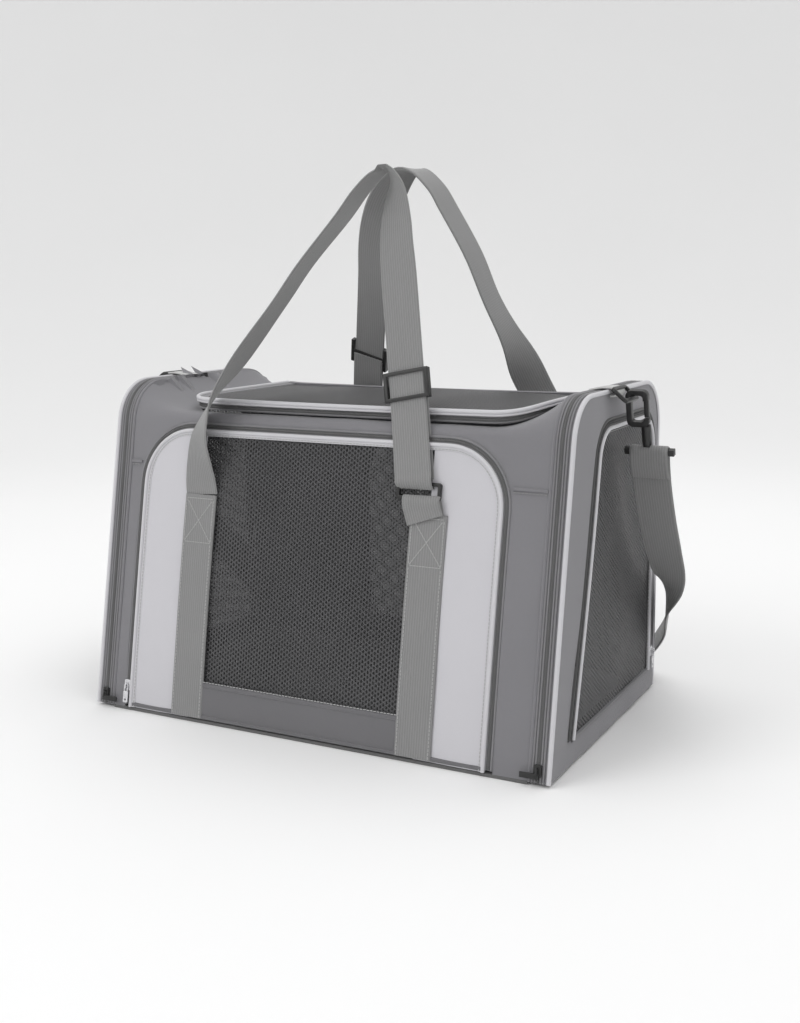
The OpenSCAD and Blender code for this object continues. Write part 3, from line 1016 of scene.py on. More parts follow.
@dataclass
class Part:
    """A finished piece: its name, what it is made of and which CAD nodes it stands for."""

    name: str
    finish: Finish
    slot: Slot
    body: str
    nodes: tuple[str, ...] = ()

    def make(self, bm: Mesh) -> bpy.types.Object:
        """Turns the mesh into the piece, which rides on its body."""
        obj = new_object(self.name, bm, self.finish.material)
        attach(obj, self.body)
        if self.nodes:
            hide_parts(*self.nodes)
        LOG.info("%s: %d faces, on %s", self.name, len(obj.data.polygons), self.body)
        return obj

    def copy(self, bevel: float, segments: int = 3) -> bpy.types.Object:
        """Makes the piece as a copy of its CAD node with rounded edges."""
        return self.make(cad_copy(self.nodes[0], bevel, segments))


def both_ends(part: Part, build: Callable[[], Mesh]) -> None:
    """Makes a right-hand piece and its mirror image at the left end.

    Args:
        part: The right piece, whose names start with right.
        build: Makes the right piece's mesh.
    """
    part.make(build())
    other = lambda name: name.replace("right", "left", 1)
    bm = build()
    bmesh.ops.scale(bm, vec=(-1, 1, 1), verts=bm.verts)
    bmesh.ops.reverse_faces(bm, faces=bm.faces)
    left = Part(other(part.name), part.finish, part.slot, other(part.body), tuple(map(other, part.nodes)))
    left.make(bm)


def cad_copy(node: str, bevel: float, segments: int = 2) -> Mesh:
    """A copy of a CAD node's shape with its loose triangles joined and its sharp edges rounded.

    Args:
        node: The CAD node.
        bevel: The width of the rounded edges.
        segments: The steps across each.

    Returns:
        The copy.
    """
    bm = bmesh.new()
    bm.from_mesh(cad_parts[node].data)
    bmesh.ops.remove_doubles(bm, verts=bm.verts, dist=0.01 * MM)
    bmesh.ops.dissolve_limit(bm, angle_limit=math.radians(2), verts=bm.verts, edges=bm.edges)
    sharp = [e for e in bm.edges if e.is_manifold and e.calc_face_angle(0) > math.radians(35)]
    bmesh.ops.bevel(
        bm,
        geom=sharp,
        offset=bevel,
        segments=segments,
        profile=0.5,
        affect="EDGES",
        clamp_overlap=True,
        material=-1,
    )
    bmesh.ops.triangulate(bm, faces=[f for f in bm.faces if len(f.verts) > 4])
    return bm


# ---------------------------------------------------------------- the bag's sub-assemblies


@dataclass
class Zip:
    """A zip sewn round an opening: a woven tape with a welt along each edge and two rows of teeth."""

    width: float = 8 * MM
    ribs: int = 3
    relief: float = 1.1 * MM
    tooth: tuple[float, float, float] = (0.9 * MM, 1.5 * MM, 1.1 * MM)
    pitch: float = 1.7 * MM

    def tape(self, rail: Rail) -> Mesh:
        """The tape along a rail through its middle.

        Args:
            rail: The middle line of the tape.

        Returns:
            The mesh of the tape.
        """
        edge, span = self.width / 2, self.width / self.ribs
        top = []
        for i in range(self.ribs):
            middle = edge - span * (i + 0.5)
            high = self.relief if i != self.ribs // 2 else 0.1 * MM
            for a in np.linspace(0, math.pi, 5):
                top.append((middle + 0.42 * span * math.cos(a), high * (1.2 * math.sin(a) - 0.2)))
        return sweep(rail, [*top, (-edge, -0.8 * MM), (edge, -0.8 * MM)])

    def teeth(self, rail: Rail) -> Mesh:
        """Both rows of teeth along the same rail, which mesh in the middle.

        Args:
            rail: The middle line of the tape.

        Returns:
            The mesh of all the teeth.
        """
        long, wide, high = self.tooth
        rows = []
        for sign, start in ((1, 0.0), (-1, self.pitch / 2)):
            inner, outer = -sign * 0.25 * MM, sign * wide
            low, top = min(inner, outer), max(inner, outer)
            one = box((start, low, 0), (start + long, top, high))
            count = max(1, int((rail.length - start - long) / self.pitch) + 1)
            rows.append(repeated(one, count, self.pitch))
        return rail.bend(joined(rows))


@dataclass
class Body:
    """The cloth skin of the middle with its seams, the plain base and the sewn rear."""

    sizes: Sizes = SIZES
    skin: Skin = field(default_factory=Skin)
    panel_low: float = 4 * MM
    panel_height: float = 288 * MM
    panel_half: float = 199 * MM
    panel_shift: float = -10 * MM
    panel_radius: float = 55 * MM
    zip_gap: float = 8.5 * MM
    strap_u: float = 128 * MM
    strap_top: float = 228 * MM
    webbing: float = 38 * MM
    band: float = 40 * MM
    window_top: float = 268 * MM
    seam_v: float = 257 * MM

    def panel_line(self, low: float | None = None) -> list[Flat]:
        """The front panel's edge, from its left foot over the top to its right foot.

        Args:
            low: The height of its feet, or the panel's own where it is left out.

        Returns:
            The edge's points on the front face.
        """
        low = self.panel_low if low is None else low
        left, right = self.panel_shift - self.panel_half, self.panel_shift + self.panel_half
        top = self.panel_low + self.panel_height
        return fillet([(left, low), (left, top), (right, top), (right, low)], self.panel_radius)

    def skin_rise(self, u: float, v: float) -> float:
        """The padding and slack of the skin."""
        edge = pillow(abs(u), 0.190, self.sizes.rim_inner)
        return ripple(u, v, 0.7 * MM) + 1.2 * MM * edge * pillow(v, 0.01, 0.26) - 0.4 * MM

    def build(self) -> None:
        """Makes the skin, its seams, the base and the rear."""
        skin, half = self.skin, self.sizes.rim_inner
        outline = rectangle(-half, half, self.sizes.low, skin.length - 3 * MM)
        opening = offset(self.panel_line(-20 * MM), self.zip_gap)
        lid_hole = [(x, skin.at_y(y)) for x, y in offset(LID.line(), -3 * MM)]
        window = self.window()
        hole = [(-u, skin.at_rear(v)) for u, v in window]
        sheet = cut_sheet(outline, [opening, lid_hole, hole])
        Part("body_skin", Finish.BODY, Slot.BODY, "carrier", ("front_wall", "top_frame", "rear_wall")).make(
            laid(sheet, skin, self.skin_rise, self.sizes.wall)
        )
        self.seams()
        self.base()
        self.rear()

    def window(self) -> list[Flat]:
        """The rear window's outline, seen from behind."""
        left = self.panel_shift - self.strap_u + self.webbing / 2
        right = self.panel_shift + self.strap_u - self.webbing / 2
        return rectangle(left, right, self.band, self.window_top)

    def seams(self) -> None:
        """The lapped seam across each front corner and the seams beside the rear window."""
        front, rear = self.skin.front, self.skin.rear
        gap = self.zip_gap
        spans = [
            (front, -self.sizes.rim_inner, self.panel_shift - self.panel_half - gap),
            (front, self.panel_shift + self.panel_half + gap, self.sizes.rim_inner),
            (rear, -self.sizes.rim_inner, self.window()[0][0] - self.webbing),
            (rear, self.window()[1][0] + self.webbing, self.sizes.rim_inner),
        ]
        folds, rows = [], []
        for face, start, end in spans:
            rail = straight(face, (start, self.seam_v), (end, self.seam_v), 0.5 * MM)
            folds.append(sweep(rail, in_mm((-2.2, -0.9), (-1.2, 0.5), (0.8, 0.9), (1.6, -0.9))))
            rows.append(stitches(rail, -3.4 * MM, 0.35 * MM))
        Part("body_seams", Finish.BODY, Slot.BODY, "carrier").make(joined(folds))
        Part("body_seam_stitches", Finish.THREAD, Slot.BODY, "carrier").make(joined(rows))

    def base(self) -> None:
        """The cloth base and the stiff board on it."""
        Part("base_cloth", Finish.BASE, Slot.BODY, "carrier", ("base_panel",)).copy(1.1 * MM)
        Part("base_board_sheet", Finish.BOARD, Slot.BOARD, "carrier", ("base_board",)).copy(0.8 * MM)

    def rear(self) -> None:
        """The rear window, its bound edge and the rear's sewn straps."""
        face, window = self.skin.rear, self.window()
        hem = 5 * MM
        low, high = window[0], window[2]
        wide = rectangle(low[0] - hem, high[0] + hem, low[1] - hem, high[1] + hem)
        Part("rear_net", Finish.NET, Slot.MESH, "carrier", ("rear_window",)).make(
            laid(cut_sheet(wide, [], 9 * MM), face, lambda u, v: ripple(u, v, 0.8 * MM) - 3.6 * MM)
        )
        edges = []
        for start, end in zip(window, [*window[1:], window[0]]):
            rail = straight(face, start, end, 0.4 * MM)
            edges.append(sweep(rail, in_mm((-5, -0.5), (-4, 0.6), (0.6, 0.8), (1.2, -3))))
        Part("rear_window_binding", Finish.BAND, Slot.BODY, "carrier").make(joined(edges))
        SewnStraps("rear", face, self, "carrier").build()


@dataclass
class SewnStraps:
    """The two webbings sewn up a face, which the handle grows out of."""

    side: str
    face: Surface
    body: Body
    rides: str

    def build(self) -> None:
        """Makes both webbings with their edge rows and box stitches."""
        b = self.body
        straps, rows = [], []
        for sign in (-1, 1):
            u = b.panel_shift + sign * b.strap_u
            rail = straight(self.face, (u, b.panel_low + MM), (u, b.strap_top))
            straps.append(sweep(rail, strap_section(b.webbing, 2.2 * MM), pitch=5 * MM))
            edge, top = b.webbing / 2 - 2.6 * MM, 2.2 * MM
            end = rail.length - 4 * MM
            sewn = end - 44 * MM
            rows += [stitches(rail.part(0, sewn), s, top) for s in (-edge, edge)]
            rows += self.cross_box(u, sewn + b.panel_low + MM, end + b.panel_low + MM, edge, top)
        nodes = ("front_straps",) if self.side == "front" else ("rear_straps",)
        Part(f"{self.side}_sewn_straps", Finish.WEBBING, Slot.WEBBING, self.rides, nodes).make(joined(straps))
        Part(f"{self.side}_strap_stitches", Finish.LIGHT_THREAD, Slot.WEBBING, self.rides).make(joined(rows))

    def cross_box(self, u: float, low: float, high: float, edge: float, top: float) -> list[Mesh]:
        """A stitched box with a cross in it, between two heights.

        Args:
            u: The middle of the webbing.
            low: The lower height.
            high: The upper height.
            edge: Half of the box's width.
            top: The height of the webbing's face.

        Returns:
            One mesh for each stitched line.
        """
        a, b, c, d = (u - edge, low), (u + edge, low), (u + edge, high), (u - edge, high)
        lines = [(a, b), (b, c), (c, d), (d, a), (a, c), (b, d)]
        return [stitches(straight(self.face, start, end), 0, top, 3.2 * MM) for start, end in lines]


@dataclass
class FrontPanel:
    """The zipped front panel: light padded sides, net window, plain band and white piping."""

    body: Body
    face: FrontFace = field(default_factory=FrontFace)
    piping: float = 1.9 * MM
    cloth: float = 2 * MM

    def build(self) -> None:
        """Makes the panel's pieces, which all ride on it."""
        b = self.body
        line = b.panel_line()
        left, right = b.panel_shift - b.strap_u, b.panel_shift + b.strap_u
        top = b.panel_low + b.panel_height
        inset = offset(line, -1.5 * MM)
        sides = []
        for low, high in ((b.panel_shift - b.panel_half, left), (right, b.panel_shift + b.panel_half)):
            sides.append(self.side_sheet(inset, low, high))
        cloth = Part("front_side_cloth", Finish.LIGHT, Slot.LIGHT, "front_panel", ("front_side_panels",))
        cloth.make(joined(sides))
        lap = 4 * MM
        net = rectangle(left - lap, right + lap, b.band - 3 * MM, top - 1.5 * MM)
        slack = lambda u, v: ripple(u, v, 1.4 * MM, 18.0) - 1.1 * MM - 0.8 * MM * pillow(v, b.band, top)
        Part("front_net", Finish.NET, Slot.MESH, "front_panel", ("front_window",)).make(
            laid(cut_sheet(net, [], 7 * MM), self.face, slack)
        )
        band = rectangle(left - lap, right + lap, b.panel_low + MM, b.band)
        puff = lambda u, v: 0.2 * MM + 1.4 * MM * pillow(v, b.panel_low, b.band) + ripple(u, v, 0.5 * MM)
        Part("front_band_cloth", Finish.BAND, Slot.BODY, "front_panel", ("front_band",)).make(
            laid(cut_sheet(band, [], 5 * MM), self.face, puff, self.cloth)
        )
        self.trim(line, left, right)
        SewnStraps("front", self.face, b, "front_panel").build()

    def side_sheet(self, inset: list[Flat], low: float, high: float) -> Mesh:
        """One light side, the part of the panel's outline between two widths.

        Args:
            inset: The panel's outline, a little inside its edge.
            low: The width on the left.
            high: The width on the right.

        Returns:
            The padded sheet.
        """
        b = self.body
        bm = cut_sheet(inset, [], 6 * MM)
        for x, normal in ((low, -1), (high, 1)):
            geom = [*bm.verts, *bm.edges, *bm.faces]
            bmesh.ops.bisect_plane(
                bm, geom=geom, plane_co=(x, 0, 0), plane_no=(normal, 0, 0), clear_outer=True
            )
        inner, outer = (high, low) if high < 0 else (low, high)
        sewn = inner + math.copysign(b.webbing / 2, outer)
        span = sorted((sewn, outer))
        crown = lambda u, v: 2.2 * MM * pillow(u, *span) * pillow(v, -0.02, 0.30)
        puff = lambda u, v: crown(u, v) + ripple(u, v, 0.8 * MM) + 0.1 * MM
        return laid(bm, self.face, puff, self.cloth)

    def trim(self, line: list[Flat], left: float, right: float) -> None:
        """The piping round the panel, the hem over the net and the rows of stitches beside them."""
        b = self.body
        rail = Rail.on(self.face, line, 0.6 * MM)
        flange = in_mm((-5.2, -0.6), (-5.0, 0.5), (-1.5, 1.0), (-1.5, -0.6))
        pipes = [
            sweep(rail, round_section(self.piping, -0.2 * MM, 1.1 * MM, 12)),
            sweep(rail, flange),
        ]
        piping = Part("front_panel_piping", Finish.PIPING, Slot.PIPING, "front_panel", ("front_piping",))
        piping.make(joined(pipes))
        hem = straight(self.face, (left, b.band), (right, b.band), 0.3 * MM)
        low = b.panel_low + 3 * MM
        ends = [(b.panel_shift + sign * b.panel_half, low) for sign in (-1, 1)]
        foot = straight(self.face, *ends, 0.4 * MM)
        hems = [
            sweep(hem, in_mm((-4, -0.6), (-3, 1.3), (0.6, 1.6), (1.5, -0.6))),
            sweep(foot, in_mm((-2.6, -0.8), (-2, 1.1), (1.2, 1.5), (2.2, -0.8))),
        ]
        Part("front_panel_hems", Finish.BAND, Slot.BODY, "front_panel").make(joined(hems))
        rows = [stitches(rail, -4.0 * MM, 0.7 * MM), stitches(hem, 1.8 * MM, 1.3 * MM)]
        Part("front_panel_stitches", Finish.LIGHT_THREAD, Slot.LIGHT, "front_panel").make(joined(rows))


@dataclass
class Lid:
    """The zipped net lid, bound with piping and sewn on along its rear."""

    right: float = 212 * MM
    left: float = 184 * MM
    front: float = 85 * MM
    rear: float = 118 * MM
    radius: float = 48 * MM
    height: float = 317.4 * MM

    def line(self) -> list[Flat]:
        """The lid's edge from its right rear corner round the front to its left rear corner."""
        corners = [
            (self.right, self.rear),
            (self.right, -self.front),
            (-self.left, -self.front),
            (-self.left, self.rear),
        ]
        return fillet(corners, self.radius)

    @property
    def face(self) -> LidFace:
        """The surface that the lid lies on."""
        return LidFace(self.height)

    def build(self) -> None:
        """Makes the net, its hem, its piping and the rear seam."""
        edge = self.line()
        crown = lambda u, v: pillow(u, -self.left, self.right) * pillow(v, -self.front, self.rear + 2 * MM)
        dome = lambda u, v: ripple(u, v, 1.6 * MM, 16.0) - 1.5 * MM + 9 * MM * crown(u, v)
        Part("lid_net", Finish.NET, Slot.MESH, "lid", ("lid_panel",)).make(
            laid(cut_sheet(offset(edge, -2 * MM), [], 7 * MM), self.face, dome)
        )
        rail = Rail.on(self.face, edge)
        hem = in_mm((-11, -1.2), (-11, 0.5), (-6, 0.9), (-1, 1.0), (0.5, -1.2))
        Part("lid_hem", Finish.BODY, Slot.BODY, "lid").make(sweep(rail, hem))
        pipes = [
            sweep(rail, round_section(2.1 * MM, 0.4 * MM, 0.7 * MM, 12)),
            sweep(rail, round_section(1.1 * MM, 0.9 * MM, -2.2 * MM, 8)),
        ]
        Part("lid_edge_piping", Finish.PIPING, Slot.PIPING, "lid", ("lid_piping",)).make(joined(pipes))
        self.hinge()
        Part("lid_stitches", Finish.THREAD, Slot.BODY, "lid").make(
            joined([stitches(rail, side, 0.8 * MM) for side in (-3.6 * MM, -9.6 * MM)])
        )

    def hinge(self) -> None:
        """The strip of cloth that the lid's rear is sewn to, and the fold over it."""
        start, end = (self.right - 2 * MM, self.rear - MM), (MM * 2 - self.left, self.rear - MM)
        rail = Rail.on(self.face, [start, end])
        wall = in_mm((-1, 0.2), (1, 0.2), (2.4, -16), (0.4, -16))
        fold = in_mm((-9, 0.4), (-7, 1.9), (-1, 2.2), (0.8, 1.2), (0, -0.4))
        Part("lid_hinge_cloth", Finish.BODY, Slot.BODY, "carrier").make(sweep(rail, wall))
        Part("lid_rear_fold", Finish.BODY, Slot.BODY, "lid").make(sweep(rail, fold))

    def zip_rail(self) -> Rail:
        """The rail of the upright zip between the cloth top and the lid.

        Returns:
            The rail.
        """
        flat = resample(offset(self.line(), -1.6 * MM), 5 * MM)
        points, ups = [], []
        step = np.gradient(flat, axis=0)
        for (x, y), (dx, dy) in zip(flat, step):
            low, high = SIZES.top(x, y), self.face.point(x, y).z
            points.append((x, y, (low + high) / 2 - 0.4 * MM))
            ups.append((-dy, dx, 0))
        return Rail(np.array(points), np.array(ups))


LID = Lid()


@dataclass
class RightEnd:
    """The right end, which the left end mirrors: raised band, wire hoop, piping, cloth wall and net door."""

    sizes: Sizes = SIZES
    rim: float = 21 * MM
    door_low: float = 26.5 * MM
    door_top: float = 300 * MM
    door_radius: float = 34 * MM
    door_rear: float = 130 * MM
    door_front: float = -34 * MM
    door_slope: float = 80 / 334
    flange_depth: float = 28 * MM
    rear_skip: float = 284 * MM
    front_skip: float = 240 * MM

    @property
    def face(self) -> EndFace:
        """The end wall's outer face."""
        return EndFace(self.sizes.half_length)

    def rim_rail(self) -> Rail:
        """A rail round the raised band, from the rear's foot over the top to the front's foot.

        Returns:
            The rail.
        """
        flat = resample(self.sizes.profile(self.sizes.hoop_height, self.sizes.hoop_radius), 5 * MM)
        step = np.gradient(flat, axis=0)
        points = np.array([(self.sizes.rim_inner, y, z) for y, z in flat])
        ups = np.array([(0, dz, -dy) for dy, dz in step])
        return Rail(points, ups)

    def door_line(self, low: float | None = None) -> list[Flat]:
        """The door's edge, from its front foot over the top to its rear foot, as (y, z).

        Args:
            low: The height of its feet, or the door's own where it is left out.

        Returns:
            The edge's points.
        """
        low = self.door_low if low is None else low
        foot = -114 * MM + (low + 34 * MM) * self.door_slope
        top, rear = self.door_top, self.door_rear
        corners = [(foot, low), (self.door_front, top), (rear, top), (rear, low)]
        return fillet(corners, self.door_radius)

    def band(self) -> Mesh:
        """The band's cloth, dipping under the zip and rolling over towards the piping.

        Returns:
            The mesh of the band.
        """
        wall, rim = self.sizes.wall, self.rim
        outer = in_mm((0, 0.3), (1.2, 1.1), (2.6, 0.9), (4.2, -0.5), (16.2, -0.5), (17.2, 0.5), (19, 0.9))
        section = [*outer, (rim, 0.2 * MM)]
        inner = [(rim, -wall), (0, -wall)]
        return sweep(self.rim_rail(), [*reversed(section), *reversed(inner)])

    def flange(self) -> Mesh:
        """The inner cloth that joins the band to the lower middle, seen only over the top."""
        rail = self.rim_rail()
        over = rail.part(self.rear_skip, rail.length - self.front_skip)
        top, foot, thick = -0.4 * MM, -self.flange_depth, 1.6 * MM
        return sweep(over, [(0, top), (thick, top), (thick, foot), (0, foot)])

    def piping(self) -> Mesh:
        """The white piping round the band's outer edge."""
        return sweep(self.rim_rail(), round_section(2.2 * MM, self.rim - 0.9 * MM, 0.1 * MM, 12))

    def wall_sheet(self) -> Mesh:
        """The cloth end wall, padded round the door.

        Returns:
            The mesh of the wall.
        """
        inset = 2 * MM
        ring = offset(self.sizes.profile(self.sizes.hoop_height, self.sizes.hoop_radius)[::-1], -inset)
        opening = offset(self.door_line(), 8.5 * MM)
        foot = self.door_low - 0.3 * MM
        opening = [(opening[0][0], foot), *opening[1:-1], (opening[-1][0], foot)]
        return laid(
            cut_sheet(ring, [opening]),
            self.face,
            lambda u, v: ripple(u, v, 1.2 * MM, 20.0) - 0.3 * MM + 1.4 * MM * pillow(v, 0.0, self.door_low),
            self.sizes.wall,
        )

    def door_net(self) -> Mesh:
        """The door's net, a little slack."""
        line = offset(self.door_line(), -1.5 * MM)
        slack = lambda u, v: ripple(u, v, 1.8 * MM, 15.0) - 0.9 * MM
        return laid(cut_sheet(line, [], 7 * MM), self.face, slack)

    def door_rail(self, side: float = 0.0) -> Rail:
        """A rail round the door's edge, moved outwards by side."""
        return Rail.on(self.face, offset(self.door_line(), side) if side else self.door_line(), 0.5 * MM)

    def door_hems(self) -> Mesh:
        """The door's bound foot."""
        line = self.door_line()
        foot = straight(self.face, line[0], line[-1], 0.4 * MM)
        return sweep(foot, in_mm((-2.5, -0.8), (-2, 0.9), (1.5, 1.2), (2.5, -0.8)))

    def build(self) -> None:
        """Makes both ends."""
        band = lambda: joined([self.band(), self.flange()])
        trim = lambda: sweep(self.door_rail(), round_section(1.9 * MM, -0.9 * MM, 0.9 * MM, 12))
        rows = lambda: stitches(self.door_rail(), -4.4 * MM, 0.2 * MM)
        wire = lambda: cad_copy("right_hoop", 0.9 * MM, 3)
        pieces = (
            ("right_band", Finish.BODY, Slot.BODY, "carrier", "right_rim", band),
            ("right_band_piping", Finish.PIPING, Slot.PIPING, "carrier", "right_rim_piping", self.piping),
            ("right_end_cloth", Finish.BODY, Slot.BODY, "carrier", "right_end_panel", self.wall_sheet),
            ("right_door_net", Finish.NET, Slot.MESH, "right_door", "right_door_panel", self.door_net),
            ("right_door_edge", Finish.PIPING, Slot.PIPING, "right_door", "right_door_piping", trim),
            ("right_door_hem", Finish.BAND, Slot.BODY, "right_door", None, self.door_hems),
            ("right_door_stitches", Finish.THREAD, Slot.MESH, "right_door", None, rows),
            ("right_hoop_wire", Finish.WIRE, Slot.WIRE, "carrier", "right_hoop", wire),
        )
        for name, finish, slot, rides, node, build in pieces:
            both_ends(Part(name, finish, slot, rides, (node,) if node else ()), build)


@dataclass
class Zips:
    """Every zip of the bag with its slider and pull."""

    body: Body
    end: RightEnd
    zip: Zip = field(default_factory=Zip)

    def build(self) -> None:
        """Makes the tapes, teeth, sliders and pulls."""
        front = Rail.on(FrontFace(), offset(self.body.panel_line(6 * MM), 4.5 * MM), 0.1 * MM)
        lid = LID.zip_rail()
        for name, rail in (("front_zip", front), ("lid_zip", lid)):
            Part(f"{name}_tape", Finish.TAPE, Slot.ZIP, "carrier", (name,)).make(self.zip.tape(rail))
            Part(f"{name}_teeth", Finish.TEETH, Slot.ZIP, "carrier").make(self.zip.teeth(rail))
        door = self.end.door_rail(4.5 * MM)
        rim = self.end.rim_rail().shifted(9.9 * MM, 0.3 * MM)
        wide = Zip(width=13 * MM, ribs=5, relief=1.3 * MM)
        pieces = (
            ("right_door_tape", Finish.DARK_TAPE, "right_door_zip", lambda: self.zip.tape(door)),
            ("right_door_teeth", Finish.DARK_TEETH, None, lambda: self.zip.teeth(door)),
            ("right_rim_tape", Finish.TAPE, "right_rim_zip", lambda: wide.tape(rim)),
            ("right_rim_teeth", Finish.TEETH, None, lambda: wide.teeth(rim)),
        )
        for name, finish, node, build in pieces:
            both_ends(Part(name, finish, Slot.ZIP, "carrier", (node,) if node else ()), build)
        self.sliders()

    def sliders(self) -> None:
        """The sliders and their pulls, copied from the CAD nodes, and the cloth-tabbed sliders of the end
        bands.
        """
        for place in ("front_zip", "lid_zip", "right_door", "left_door"):
            slider, pull = f"{place}_slider", f"{place}_pull"
            Part(f"{slider}_metal", Finish.METAL, Slot.METAL, slider, (slider,)).copy(0.45 * MM)
            Part(f"{pull}_metal", Finish.METAL, Slot.METAL, pull, (pull,)).copy(0.35 * MM, 2)
        for side in ("right", "left"):
            node = f"{side}_rim_slider"
            Part(f"{node}_metal", Finish.PLASTIC, Slot.PLASTIC, node, (node,)).copy(0.4 * MM, 2)


@dataclass
class Handles:
    """The two carrying handles: long webbing loops with their bar sliders and rings."""

    body: Body
    width: float = 38 * MM
    thickness: float = 2.2 * MM
    sewn_up_to: float = 226 * MM
    free_from: float = 240 * MM
    front_route: tuple[tuple[float, float, float], ...] = (
        (-138, -113.6, 225), (-139, -113.6, 238), (-139.5, -114, 256), (-136, -116.5, 287),
        (-127, -107.5, 318),
        (-97, -104, 357), (-60, -85, 413), (-37, -70, 452), (-4, -56, 495), (14, -51, 519),
        (30, -46, 536), (42, -45.5, 538), (50, -49, 520), (56, -58, 490), (60.2, -64.8, 468),
        (66, -71.4, 438), (77.7, -84.8, 377.5), (89.3, -98.1, 317), (100, -112.2, 262),
        (101.3, -114.6, 254.5), (101.9, -112.6, 248.6), (102, -108.9, 247.2), (101.9, -106.2, 251.4),
        (100.2, -105.7, 261), (89.3, -93.6, 317), (84.6, -88.2, 340),
    )
    front_widths: tuple[tuple[float, float, float], ...] = (
        (1, 0, 0), (1, -0.05, 0), (1, -0.25, 0), (1, -0.7, 0), (0.6, -1, 0), (0.1, -1, 0), (0.15, -1, 0),
        (0.15, -1, 0), (0.1, -1, 0), (0.1, -1, 0), (0.2, -1, 0), (0.5, -1, 0), (0.8, -0.6, 0),
        (1, -0.25, 0.1), (1, -0.1, 0.19), (1, 0, 0.19), (1, 0, 0.19), (1, 0, 0.19), (1, 0, 0.1),
        (1, 0, 0.04), (1, 0, 0), (1, 0, 0), (1, 0, 0.04), (1, 0, 0.1), (1, 0, 0.19), (1, 0, 0.19),
    )
    rear_route: tuple[tuple[float, float, float], ...] = (
        (138, 154.6, 225), (138, 155.6, 240), (137, 156.5, 262), (125, 158, 295), (110, 153, 325),
        (97, 126, 372), (82, 106, 415), (69, 89, 461), (50, 69, 508), (39, 59, 531),
        (24, 51, 546), (8, 51, 545), (-14, 57, 524), (-34, 70, 495), (-47.7, 83.8, 468),
        (-57, 97, 437), (-74.5, 122, 378.5), (-90.5, 144.9, 325), (-97.6, 156.2, 297),
        (-101.5, 158.9, 259), (-102, 158.5, 253), (-102, 155.6, 250.6), (-101.7, 153.6, 256),
        (-97.6, 152.6, 292), (-89, 139.2, 325), (-82.4, 129.5, 350),
    )
    rear_widths: tuple[tuple[float, float, float], ...] = (
        (1, 0, 0), (1, 0, 0), (1, 0, 0), (1, 0, 0), (0.85, 0.4, 0), (0.3, 1, 0), (0.1, 1, 0),
        (0.1, 1, 0), (0.1, 1, 0), (0.1, 1, 0), (0.2, 1, 0), (0.5, 1, 0), (0.8, 0.6, 0),
        (1, 0.25, -0.15), (1, 0.1, -0.3), (1, 0, -0.3), (1, 0, -0.3), (1, 0, -0.3), (1, 0, -0.1),
        (1, 0, 0), (1, 0, 0), (1, 0, 0), (1, 0, 0), (1, 0, -0.1), (1, 0, -0.3), (1, 0, -0.3),
    )

    def build(self) -> None:
        """Makes both handles."""
        routes = {"front": (self.front_route, self.front_widths), "rear": (self.rear_route, self.rear_widths)}
        faces = {"front": FrontFace(), "rear": RearFace()}
        for side, (route, widths) in routes.items():
            rail = Rail.strap(route, widths)
            section = strap_section(self.width, self.thickness, -self.thickness / 2)
            strap = sweep(rail, section, pitch=4 * MM)
            webbing = self.hung(f"{side}_handle_webbing", strap, side, faces[side])
            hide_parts(f"{side}_handle")
            self.ring_loop(side, faces[side])
            for fitting, bevel in (("slider", 0.7 * MM), ("ring", 0.9 * MM)):
                node = f"{side}_{fitting}"
                rides = node if fitting == "slider" else f"{side}_handle"
                Part(f"{node}_plastic", Finish.PLASTIC, Slot.PLASTIC, rides, (node,)).copy(bevel)

    def hung(self, name: str, bm: Mesh, side: str, face: Surface) -> bpy.types.Object:
        """Makes the webbing into a piece, with its place baked into its mesh.

        Args:
            name: The piece's name.
            bm: Its mesh.
            side: The handle's side, front or rear.
            face: The face that the foot is sewn to.

        Returns:
            The finished piece.
        """
        piece = new_object(name, bm, Finish.WEBBING.material)
        foot, free = face.point(0, self.sewn_up_to), face.point(0, self.free_from)
        root = "front_panel" if side == "front" else "carrier"
        tuple(foot)
        tuple(free)
        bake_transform(piece)
        LOG.info("%s: %d faces, from %s to %s_handle", name, len(piece.data.polygons), root, side)
        return piece

    def ring_loop(self, side: str, face: Surface) -> None:
        """The short sewn loop that holds the ring, folded over the ring's lower bar."""
        fold = [
            (115, 221, 1.4), (113, 229, 1.2), (111, 236, 1.0), (110.4, 241, 1.2), (110.2, 244.3, 3.2),
            (110.4, 241.5, 5.8), (111, 236, 6.0), (113, 229, 4.8), (115.4, 222, 3.7),
        ]
        points = spline(fold, 5) * MM
        lift = MM if side == "rear" else 0.0
        places = np.array([face.lay(u, v, w - lift) for u, v, w in points])
        wide = np.array(face.lay(0.11, 0.23, 0)) - np.array(face.lay(0.10, 0.23, 0))
        ups = np.cross(np.gradient(places, axis=0), wide)
        strap = sweep(Rail(places, ups), strap_section(self.width, 1.9 * MM, -0.95 * MM), pitch=2 * MM)
        self.hung(f"{side}_ring_loop", strap, side, face)


